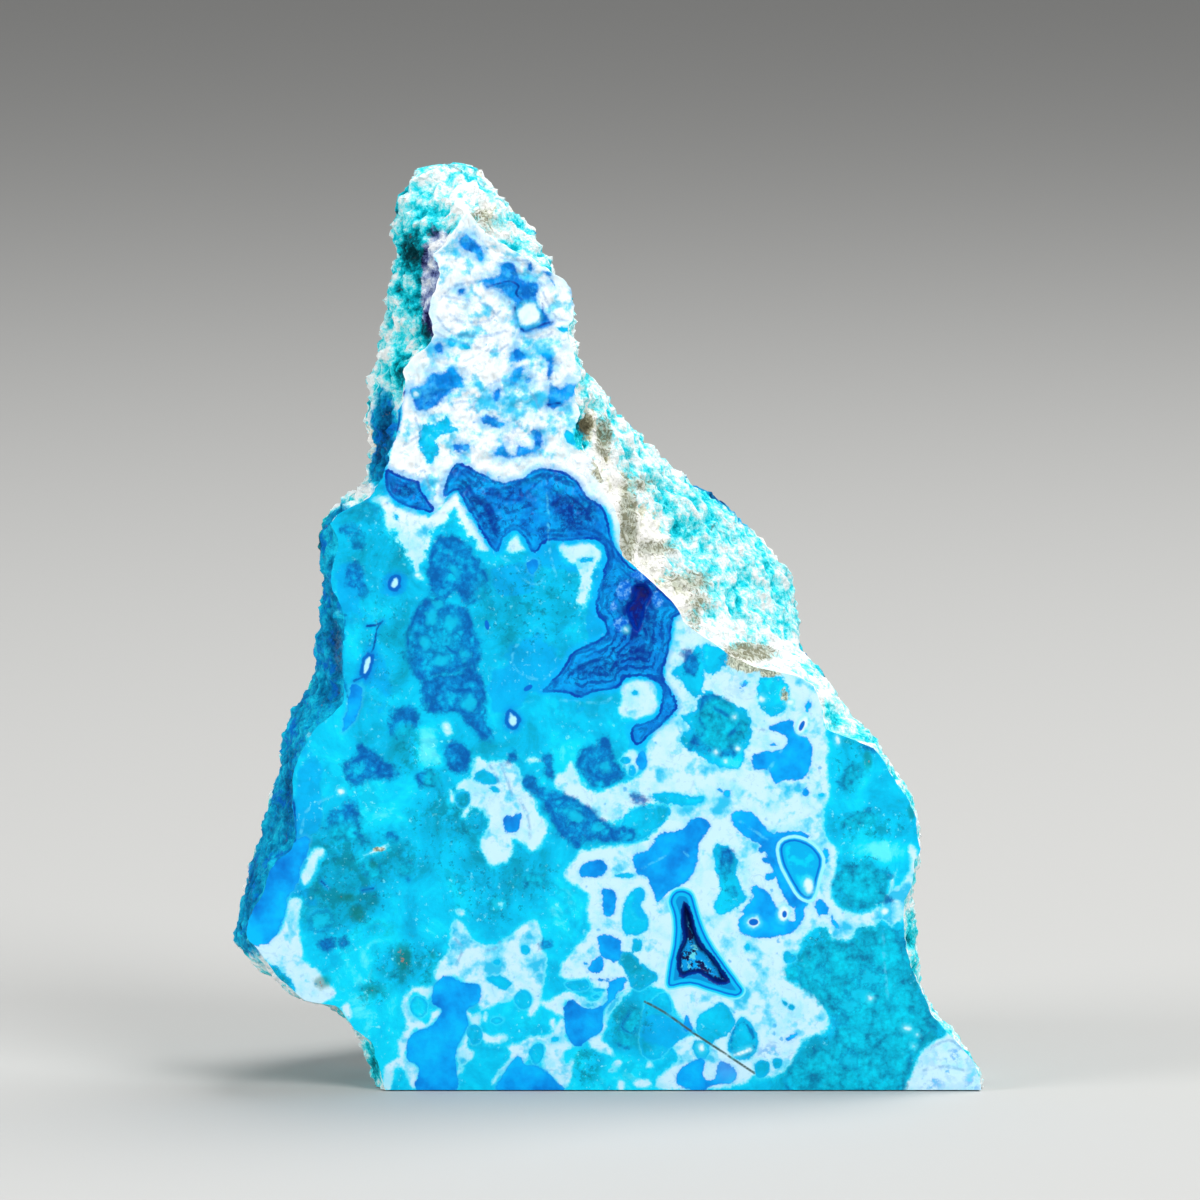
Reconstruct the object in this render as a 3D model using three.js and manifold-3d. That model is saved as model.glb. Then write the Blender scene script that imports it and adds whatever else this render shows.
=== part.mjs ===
// A piece of rough shattuckite: one stone with a flat sawn front, a flat sawn base and broken skin all round.
// Millimetres, +Z up. It is drawn with the sawn front in the plane y = 0, looking along -Y, and the stone
// reaching back along +Y. At the end it is moved so that the origin is the middle of its box, on the base.

import * as THREE from 'three';
import Module from 'manifold-3d';
import { mergeVertices } from 'three/addons/utils/BufferGeometryUtils.js';
import { ImprovedNoise } from 'three/addons/math/ImprovedNoise.js';

// ---- Driving dimensions ----

const HEIGHT = 74;              // base to tip
const SAWN_TOP = 70.7;          // height of the highest point of the sawn front
const TIP_SETBACK = 4.5;        // how far the tip's front edge stands behind the sawn front
const CROWN = 0.35;             // rise of the tip's middle above its rim
const CROWN_CLOSING = 0.12;     // how much the tip closes in...
const CROWN_HEIGHT = 1.5;       // ...over this height below its rim

// The edges of the sawn front, from the top down: [x, z].
const SAWN_LEFT = [
  [-11.2, 70.7], [-12.1, 69.1], [-13.4, 67.2], [-12.9, 65.9], [-13.4, 64.3], [-13.8, 63.7], [-13.9, 61.7],
  [-13.4, 60.5], [-14.4, 59.7], [-15.8, 58.5], [-16.1, 57.6], [-15.8, 56.8], [-16.4, 55.2], [-16.6, 53.6],
  [-17.0, 51.9], [-17.5, 50.0], [-18.2, 48.4], [-18.6, 47.8], [-20.2, 47.0], [-21.5, 46.4], [-21.8, 45.6],
  [-21.2, 44.0], [-21.8, 42.0], [-21.8, 40.4], [-21.0, 38.8], [-20.8, 37.5], [-21.0, 33.9], [-20.8, 31.1],
  [-22.0, 30.2], [-23.6, 28.9], [-24.6, 26.7], [-25.0, 24.7], [-24.7, 20.3], [-25.0, 19.5], [-26.8, 18.2],
  [-27.4, 15.8], [-28.2, 14.5], [-29.0, 12.4], [-27.4, 10.9], [-26.0, 9.0], [-24.2, 7.4], [-23.8, 7.1],
  [-21.5, 6.9], [-21.0, 6.2], [-20.4, 5.1], [-19.4, 4.6], [-18.6, 3.8], [-18.0, 1.8], [-17.6, 0.0],
];
const SAWN_RIGHT = [
  [-11.0, 70.7], [-10.0, 69.3], [-8.4, 68.3], [-5.4, 66.5], [-4.0, 65.9], [-3.0, 64.6], [-2.5, 63.4],
  [-2.8, 61.6], [-3.0, 60.9], [-2.3, 59.5], [-1.8, 57.2], [-2.6, 56.0], [-1.8, 55.0], [-2.6, 53.2],
  [-2.2, 51.6], [-1.0, 51.4], [-0.4, 49.4], [-0.3, 48.4], [0.6, 47.2], [1.4, 45.3], [1.0, 43.4], [2.0, 42.6],
  [4.0, 40.8], [5.6, 39.3], [6.5, 37.5], [8.6, 36.2], [10.2, 34.9], [12.8, 33.9], [14.8, 33.7], [16.6, 33.1],
  [17.0, 32.2], [17.4, 30.7], [17.8, 29.1], [19.4, 28.5], [21.4, 27.9], [22.0, 27.1], [24.0, 23.9],
  [24.8, 22.3], [25.4, 19.5], [24.8, 18.5], [24.7, 16.6], [24.0, 15.0], [24.0, 12.6], [24.2, 11.4],
  [25.0, 8.6], [26.4, 5.8], [28.0, 4.3], [29.6, 2.2], [30.0, 1.0], [30.1, 0.0],
];

// The widest outline of the stone, which the broken skin reaches a little way behind the sawn front: [x, z].
const SKIN_LEFT = [
  [-15.0, 73.8], [-15.4, 72.6], [-16.3, 71.6], [-16.6, 70.6], [-16.6, 67.6], [-16.2, 66.2], [-17.0, 64.8],
  [-17.5, 62.4], [-17.7, 60.0], [-18.6, 58.0], [-18.7, 55.5], [-19.3, 53.9], [-18.7, 51.5], [-19.0, 49.2],
  [-19.5, 47.9], [-21.4, 47.0], [-22.5, 46.0], [-22.9, 42.8], [-22.4, 40.0], [-23.0, 36.7], [-23.0, 33.0],
  [-24.0, 31.5], [-25.1, 29.9], [-25.9, 26.2], [-26.9, 23.0], [-27.8, 21.6], [-28.6, 18.0], [-29.0, 15.6],
  [-29.5, 13.3], [-30.5, 10.9], [-29.2, 10.5], [-28.0, 9.7], [-25.6, 7.5], [-24.4, 6.9], [-21.4, 6.6],
  [-20.4, 4.9], [-19.3, 2.0], [-18.4, 0.4], [-18.2, 0.0],
];
const SKIN_RIGHT = [
  [-10.6, 73.7], [-9.7, 72.5], [-9.0, 71.5], [-7.4, 70.6], [-6.2, 69.4], [-5.3, 67.8], [-5.0, 67.0],
  [-4.6, 66.3], [-3.9, 65.8], [-2.4, 63.3], [-2.9, 60.9], [-2.2, 58.8], [-1.7, 57.0], [-1.0, 56.6],
  [-0.2, 55.8], [1.4, 53.6], [3.2, 51.3], [5.4, 49.0], [6.4, 48.1], [8.2, 47.2], [9.8, 45.6], [11.8, 43.8],
  [13.8, 41.8], [15.4, 40.7], [15.2, 40.0], [15.8, 38.6], [15.8, 35.4], [16.7, 33.9], [17.2, 32.6],
  [19.2, 31.2], [20.6, 29.2], [22.0, 27.1], [23.4, 25.0], [24.8, 22.9], [25.4, 20.4], [25.8, 18.7],
  [25.1, 18.2], [24.8, 16.7], [24.7, 15.1], [25.4, 11.5], [25.3, 7.9], [26.6, 5.7], [28.4, 4.0], [30.0, 1.8],
  [30.5, 1.0], [30.3, 0.0],
];

// How far behind the sawn front the skin reaches that outline, and how deep the stone is: [depth, z].
const FLARE_LEFT = [
  [4.5, 74], [5, 50], [3, 45], [3, 38], [6, 34], [7, 28], [8, 22], [7, 16], [5, 11], [4, 7], [4, 0],
];
const FLARE_RIGHT = [
  [4.5, 74], [5, 68], [2, 65], [2, 59], [6, 56], [10, 50], [14, 44], [15, 39], [12, 35], [7, 31], [4, 27],
  [3, 20], [3, 0],
];
const DEPTH = [
  [11, 74], [13.5, 71], [16, 66], [20, 58], [24, 50], [28, 40], [32, 28], [34, 16], [33, 8], [31, 0],
];

// Flat breaks that cut the back and the flanks: a point on each plane and the direction it faces.
const BREAKS = [
  { through: [0, 33, 12], facing: [0.05, 0.93, 0.36] },
  { through: [-22, 22, 15], facing: [-0.72, 0.66, 0.2] },
  { through: [23, 20, 15], facing: [0.8, 0.55, 0.25] },
  { through: [-5, 20, 50], facing: [0.1, 0.85, 0.42] },
  { through: [0, 32, 5], facing: [0, 0.85, -0.52] },
  { through: [9, 22, 44], facing: [0.62, 0.7, 0.36] },
  { through: [-26, 16, 8], facing: [-0.8, 0.35, -0.5] },
];
const BREAK_ROUNDING = 0.7;     // how softly two breaks run into each other

// The way back from the widest outline.
const LEAST_FLARE = 1;          // the widest outline lies at least this far behind the front edge
const BACK_BOXINESS = 0.75;     // 1 would give an elliptical back, less gives a boxier one
const BACK_LEAN = 0.11;         // how much lower the outline lies for each millimetre further back
const BACK_DRAW_IN = 0.17;      // how much the flanks close in for each millimetre further back
const OUTLINE_FADE = 0.6;       // share of the way round over which the outline's small turns fade...
const OUTLINE_REACH = 4;        // ...into an average over this height up and down
const AXIS_SHARE = 0.45;        // where the middle of a section lies, from the front (0) to the back (1)

// Lumps (positive) and hollows (negative) of the skin: [x, y, z, radius, height].
const LUMPS = [
  [-15.5, 5, 70, 3, 0.4],
  [-7.5, 7, 69, 3, 0.5],
  [-10, 13, 65, 5, 1.2],
  [10, 9, 45, 4, 0.7],
  [6, 6, 45, 3, -0.7],
  [11, 10, 39, 3, -0.6],
  [-20, 18, 26, 7, 1.8],
  [-18, 15, 44, 6, -1.3],
  [17, 22, 18, 7, 1.8],
  [4, 30, 20, 8, 1.8],
  [-12, 27, 30, 7, -1.8],
  [12, 24, 34, 6, -1.4],
  [-6, 20, 52, 6, 1.3],
  [16, 28, 8, 7, -1.5],
];
const LUMP_CLEAR = 2;           // depth over which a lump rises behind the sawn front

// Chips: shallow scoops with sharp ridges between them, as [width, depth] of each layer, from coarse to fine.
const CHIP_LAYERS = [[13, 3.8], [5.5, 1.5]];
const CHIP_MEAN = 0.48;         // distance of the average point from the middle of its scoop, in widths
const CHIP_JITTER = 0.45;       // how far a scoop's middle strays from the middle of its cell, in widths

// Roughness over the chips: [size of the lumps, height] of each layer, from coarse to fine.
const ROUGH_LAYERS = [[7, 0.5], [3.5, 0.4], [1.9, 0.3]];
const ROUGH_SHIFT = 17.3;       // keeps the layers from lining up
const ROUGH_AT_EDGE = 0.04;     // share of the full roughness right behind the sawn front
const ROUGH_AT_SKIN = 0.16;     // share where the stone is widest
const ROUGH_DEPTH = 13;         // how far behind its widest outline the skin has its full roughness

// Open pits: the three-sided pocket and the narrow vug in the sawn front, and a notch in its right edge.
const POCKET = [
  [6.2, 14.6], [7.0, 14.5], [7.8, 11.8], [9.0, 10.5], [9.7, 9.0], [8.4, 9.0], [7.4, 9.6], [6.1, 9.4],
  [5.9, 11.0], [6.4, 12.2], [6.3, 13.5],
];
const POCKET_DEEP = 1.3;
const VUG = [[2.2, 40.6], [3.5, 40.7], [3.7, 39.3], [3.0, 37.6], [2.4, 37.0], [1.9, 37.6], [1.6, 38.7]];
const VUG_DEEP = 0.9;
const PIT_RIM = 0.35;           // how far a pit narrows from its mouth to its floor
const PIT_CLEAR = 1;            // how far the cutting body of a pit stands out of the front
const NOTCH = { at: [-1.0, 1.2, 52.7], radii: [1.5, 1.6, 1.9] };

// The mesh of the stone: columns round a level, and levels, closer where the outline turns quickly.
const FRONT_COLUMNS = 4;
const SIDE_COLUMNS = 5;
const BACK_COLUMNS = 38;
const COLUMNS = FRONT_COLUMNS + 2 * SIDE_COLUMNS + BACK_COLUMNS;
const LEVEL_SPANS = [           // from, to, steps
  [0, 6, 6], [6, 7.6, 4], [7.6, 27.6, 22], [27.6, 34.2, 9], [34.2, 51, 19], [51, SAWN_TOP, 22],
  [SAWN_TOP, HEIGHT - CROWN, 5],
];

const MERGE_DISTANCE = 1e-5;
const STONE_COLOUR = 0x19b4d8;
const STONE_ROUGHNESS = 0.45;

// ---- Shape of one level ----

const noise = new ImprovedNoise();
const { lerp, clamp, smoothstep } = THREE.MathUtils;

// Reads a line of [value, z] points, listed from the top down, at one height.
function readAt(line, z) {
  const below = line.findIndex(([, height]) => height <= z);
  if (below === 0) return line[0][0];
  if (below < 0) return line[line.length - 1][0];
  const [upperValue, upperZ] = line[below - 1];
  const [lowerValue, lowerZ] = line[below];
  return lerp(lowerValue, upperValue, (z - lowerZ) / (upperZ - lowerZ));
}

// The same, averaged over a stretch of the height.
function readSoftly(line, z) {
  const samples = [-1, -0.5, 0, 0.5, 1].map(share => readAt(line, z + share * OUTLINE_REACH));
  return samples.reduce((sum, value) => sum + value, 0) / samples.length;
}

// Bends a round arc towards a box.
function boxy(value) {
  return Math.sign(value) * Math.abs(value) ** BACK_BOXINESS;
}

// A point of the flank, at a share of the way from the sawn edge back to the widest outline.
function flankPoint(sawnX, skinX, front, widest, share) {
  return {
    x: lerp(sawnX, skinX, (share + Math.sin(share * Math.PI / 2)) / 2),
    y: lerp(front, widest, share),
    sawn: share === 0,
    rough: lerp(ROUGH_AT_EDGE, ROUGH_AT_SKIN, share),
  };
}

// A point of the back, at a share of the way round from the right flank to the left one.
function backPoint(z, widestLeft, widestRight, share) {
  const turn = Math.PI * share;
  const shelf = lerp(widestRight, widestLeft, share);
  const y = lerp(shelf, readAt(DEPTH, z), boxy(Math.sin(turn)));
  const behind = y - shelf;
  const softness = smoothstep(Math.sin(turn), 0, OUTLINE_FADE);
  const height = z + BACK_LEAN * behind;
  const edge = line => lerp(readAt(line, height), readSoftly(line, height), softness);
  const drawIn = BACK_DRAW_IN * behind;
  return {
    x: lerp(edge(SKIN_LEFT) + drawIn, edge(SKIN_RIGHT) - drawIn, (1 + boxy(Math.cos(turn))) / 2),
    y,
    sawn: false,
    rough: lerp(ROUGH_AT_SKIN, 1, smoothstep(behind, 0, ROUGH_DEPTH)),
  };
}

// The smooth section, not yet broken: straight across the front, out to the widest outline, round the back.
function plainSection(z) {
  const aboveSawn = Math.max(z - SAWN_TOP, 0) / (HEIGHT - SAWN_TOP);
  const front = TIP_SETBACK * Math.sin(aboveSawn * Math.PI / 2);
  const sawn = { left: readAt(SAWN_LEFT, z), right: readAt(SAWN_RIGHT, z) };
  const skin = { left: readAt(SKIN_LEFT, z), right: readAt(SKIN_RIGHT, z) };
  const widest = {
    left: Math.max(readAt(FLARE_LEFT, z), front + LEAST_FLARE),
    right: Math.max(readAt(FLARE_RIGHT, z), front + LEAST_FLARE),
  };
  const shares = count => Array.from({ length: count }, (_, i) => i / count);
  const points = [
    ...shares(FRONT_COLUMNS).map(share => ({ x: lerp(sawn.left, sawn.right, share), y: front, sawn: true })),
    ...shares(SIDE_COLUMNS).map(share => flankPoint(sawn.right, skin.right, front, widest.right, share)),
    ...shares(BACK_COLUMNS).map(share => backPoint(z, widest.left, widest.right, share)),
    ...shares(SIDE_COLUMNS).map(share => flankPoint(sawn.left, skin.left, front, widest.left, 1 - share)),
  ];
  const centre = new THREE.Vector3((skin.left + skin.right) / 2, AXIS_SHARE * readAt(DEPTH, z), z);
  return { points, centre, front };
}

// Smaller of two lengths, rounded where they are alike.
function softMin(a, b, rounding) {
  const share = clamp(0.5 + 0.5 * (b - a) / rounding, 0, 1);
  return lerp(b, a, share) - rounding * share * (1 - share);
}

const breakPlanes = BREAKS.map(({ through, facing }) => {
  const normal = new THREE.Vector3(...facing).normalize();
  return { normal, reach: normal.dot(new THREE.Vector3(...through)) };
});

// A fixed value from -1 to 1 for a cell of space and a purpose.
function cellValue(cell, purpose) {
  const mixed = Math.sin(cell.x * 127.1 + cell.y * 311.7 + cell.z * 74.7 + purpose * 269.5) * 43758.5453;
  return 2 * (mixed - Math.floor(mixed)) - 1;
}

// The height in a field of scoops: lowest at the middle of each cell, highest on the ridges between them.
function chipRelief(point, size) {
  const home = point.clone().divideScalar(size).floor();
  let nearest = Infinity;
  for (let i = 0; i < 27; i++) {
    const cell = new THREE.Vector3(i % 3 - 1, Math.floor(i / 3) % 3 - 1, Math.floor(i / 9) - 1).add(home);
    const random = [0, 1, 2].map(purpose => 0.5 + CHIP_JITTER * cellValue(cell, purpose));
    const centre = new THREE.Vector3(...random).add(cell).multiplyScalar(size);
    nearest = Math.min(nearest, centre.distanceTo(point));
  }
  return nearest / size - CHIP_MEAN;
}

// How far the skin stands out from (or in from) its plain shape at a point.
function relief(point, front, rough) {
  let height = 0;
  ROUGH_LAYERS.forEach(([size, layerHeight], layer) => {
    const shift = ROUGH_SHIFT * layer;
    height += layerHeight * noise.noise(point.x / size + shift, point.y / size, point.z / size - shift);
  });
  for (const [size, deep] of CHIP_LAYERS) height += deep * chipRelief(point, size);
  height *= rough;
  for (const [x, y, z, radius, lump] of LUMPS) {
    const distance = point.distanceTo(new THREE.Vector3(x, y, z)) / radius;
    height += lump * Math.exp(-distance * distance) * smoothstep(point.y, front, front + LUMP_CLEAR);
  }
  return height;
}

// The broken section: every point behind the sawn front is drawn in to the breaks, then roughened.
function section(z) {
  const { points, centre, front } = plainSection(z);
  const crown = 1 - CROWN_CLOSING * smoothstep(z, HEIGHT - CROWN - CROWN_HEIGHT, HEIGHT - CROWN);
  return points.map(({ x, y, sawn, rough }) => {
    const point = new THREE.Vector3(x, y, z);
    if (sawn) return point;
    const outward = point.clone().sub(centre);
    let length = outward.length();
    outward.divideScalar(length);
    for (const { normal, reach } of breakPlanes) {
      const closing = normal.dot(outward);
      if (closing > 0) length = softMin(length, (reach - normal.dot(centre)) / closing, BREAK_ROUNDING);
    }
    point.copy(centre).addScaledVector(outward, length);
    length = crown * (length + relief(point, front, rough));
    point.copy(centre).addScaledVector(outward, length);
    point.y = Math.max(point.y, front);
    return point;
  });
}

// ---- The stone and its hollows ----

// Every height at which the stone has a level of vertices.
function levelHeights() {
  const heights = [0];
  for (const [from, to, steps] of LEVEL_SPANS) {
    for (let i = 1; i <= steps; i++) heights.push(lerp(from, to, i / steps));
  }
  return heights;
}

// The middle of a ring, which closes the top or the base.
function capMiddle(ring, height) {
  const middle = new THREE.Vector3();
  for (const point of ring) middle.addScaledVector(point, 1 / ring.length);
  return middle.setZ(height);
}

// A cylinder's grid, with each ring moved onto the section at its height.
function stoneGeometry() {
  const rings = levelHeights().map(section);
  const steps = rings.length - 1;
  const geometry = new THREE.CylinderGeometry(1, 1, 1, COLUMNS, steps).rotateX(Math.PI / 2);
  const { position } = geometry.attributes;
  const vertex = new THREE.Vector3();
  for (let i = 0; i < position.count; i++) {
    vertex.fromBufferAttribute(position, i);
    const ring = rings[Math.round((vertex.z + 0.5) * steps)];
    const turn = Math.atan2(vertex.y, vertex.x) / (2 * Math.PI);
    const onAxis = Math.hypot(vertex.x, vertex.y) < 0.5;
    if (onAxis) vertex.copy(capMiddle(ring, vertex.z > 0 ? HEIGHT : 0));
    else vertex.copy(ring[(Math.round(turn * COLUMNS) + COLUMNS) % COLUMNS]);
    position.setXYZ(i, vertex.x, vertex.y, vertex.z);
  }
  return geometry;
}

// A pit with a flat floor: its outline in the sawn front, narrowed towards the floor.
function pitGeometry(outline, deep) {
  const shape = new THREE.Shape(outline.map(([x, z]) => new THREE.Vector2(x, z)));
  const geometry = new THREE.ExtrudeGeometry(shape, {
    depth: PIT_CLEAR, steps: 1, bevelEnabled: true, bevelSegments: 2,
    bevelThickness: deep, bevelSize: PIT_RIM, bevelOffset: -PIT_RIM,
  });
  return geometry.rotateX(Math.PI / 2);
}

// A rounded notch: a ball drawn out to its three radii.
function notchGeometry() {
  const geometry = new THREE.IcosahedronGeometry(1, 2);
  return geometry.scale(...NOTCH.radii).translate(...NOTCH.at);
}

// ---- Joining and cutting ----

const wasm = await Module();
wasm.setup();

function toSolid(geometry) {
  const bare = geometry.clone();
  bare.deleteAttribute('normal');
  bare.deleteAttribute('uv');
  const merged = mergeVertices(bare, MERGE_DISTANCE);
  return new wasm.Manifold(new wasm.Mesh({
    numProp: 3,
    vertProperties: new Float32Array(merged.attributes.position.array),
    triVerts: new Uint32Array(merged.index.array),
  }));
}

function toGeometry(solid) {
  const mesh = solid.getMesh();
  const geometry = new THREE.BufferGeometry();
  geometry.setAttribute('position', new THREE.BufferAttribute(new Float32Array(mesh.vertProperties), 3));
  geometry.setIndex(new THREE.BufferAttribute(new Uint32Array(mesh.triVerts), 1));
  geometry.computeVertexNormals();
  return geometry;
}

const hollows = [pitGeometry(POCKET, POCKET_DEEP), pitGeometry(VUG, VUG_DEEP), notchGeometry()];
const stone = hollows.reduce((solid, hollow) => solid.subtract(toSolid(hollow)), toSolid(stoneGeometry()));

const geometry = toGeometry(stone);
geometry.computeBoundingBox();
const middle = geometry.boundingBox.getCenter(new THREE.Vector3());
geometry.translate(-middle.x, -middle.y, -geometry.boundingBox.min.z);

const mesh = new THREE.Mesh(geometry, new THREE.MeshStandardMaterial({
  color: STONE_COLOUR, roughness: STONE_ROUGHNESS, metalness: 0,
}));
mesh.name = 'shattuckite_rough';

const group = new THREE.Group();
group.add(mesh);

export default group;
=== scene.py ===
import math

import bpy
import numpy as np
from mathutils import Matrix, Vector, noise
from mathutils.bvhtree import BVHTree


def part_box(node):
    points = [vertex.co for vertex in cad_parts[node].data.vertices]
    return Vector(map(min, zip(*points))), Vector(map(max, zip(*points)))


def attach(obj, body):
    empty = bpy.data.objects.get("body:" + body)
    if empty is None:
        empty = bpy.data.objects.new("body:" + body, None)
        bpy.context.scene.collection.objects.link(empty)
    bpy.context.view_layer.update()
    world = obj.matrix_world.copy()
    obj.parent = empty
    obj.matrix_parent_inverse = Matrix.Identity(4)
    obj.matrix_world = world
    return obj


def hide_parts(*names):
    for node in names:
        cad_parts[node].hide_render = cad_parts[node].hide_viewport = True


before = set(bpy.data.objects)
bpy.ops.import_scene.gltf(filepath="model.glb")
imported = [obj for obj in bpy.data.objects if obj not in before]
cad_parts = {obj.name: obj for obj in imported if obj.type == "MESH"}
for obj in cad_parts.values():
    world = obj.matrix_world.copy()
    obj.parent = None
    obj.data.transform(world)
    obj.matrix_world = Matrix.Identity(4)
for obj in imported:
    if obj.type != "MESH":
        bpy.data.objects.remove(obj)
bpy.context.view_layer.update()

# ---- Sizes and places ----
# Lengths are in millimetres. Places on the sawn front are in pixels of the photograph.

STONE = "shattuckite_rough"
METRE = 1000.0                  # millimetres in a metre
PIXEL = 0.08                    # millimetres of the sawn front in one pixel
PIXEL_LEFT, PIXEL_BASE = 224, 1092      # the stone's left end and its base
PIXEL_MIDDLE = 600              # middle of the photograph, across and down
PHOTO_SIZE = 1200
ELEVATION = math.radians(6)     # how far the camera looks down
CAMERA_DISTANCE = 1000.0
SENSOR = 36.0

LEVELS = 300                    # rows of the skin, from the base to the tip
FACE_ROWS = 2                   # rows of the sawn front to each row of the skin
FACE_COLUMNS = 480              # columns across the sawn front
FACE_PARTS = ("low", "middle", "top")
SKIN_COLUMNS = 310              # columns round the broken skin
CAP_RINGS = 4
TIP_RIM = 0.4                   # height of the tip's cap
RAYS = 300                      # rays cast round each level
RAY_START = 5                   # rays start this far outside the stone's box
LOWEST_PROBE = 0.01             # the base row is read this far above the base
MIDDLE_SHARE = 0.45             # the rays start this far from the sawn front to the back
CROWN = (43.0, 50.0)            # the stone gets more knobbly between these heights
EDGE_DEPTH = 0.03               # the sawn edges are found this far behind the front
REACH = 40                      # distances to the markings are kept up to this many pixels

# ---- Markings on the sawn front ----
# Closed outlines in pixels, and ovals as (across, down, half width, half height, tilt in degrees).

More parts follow.
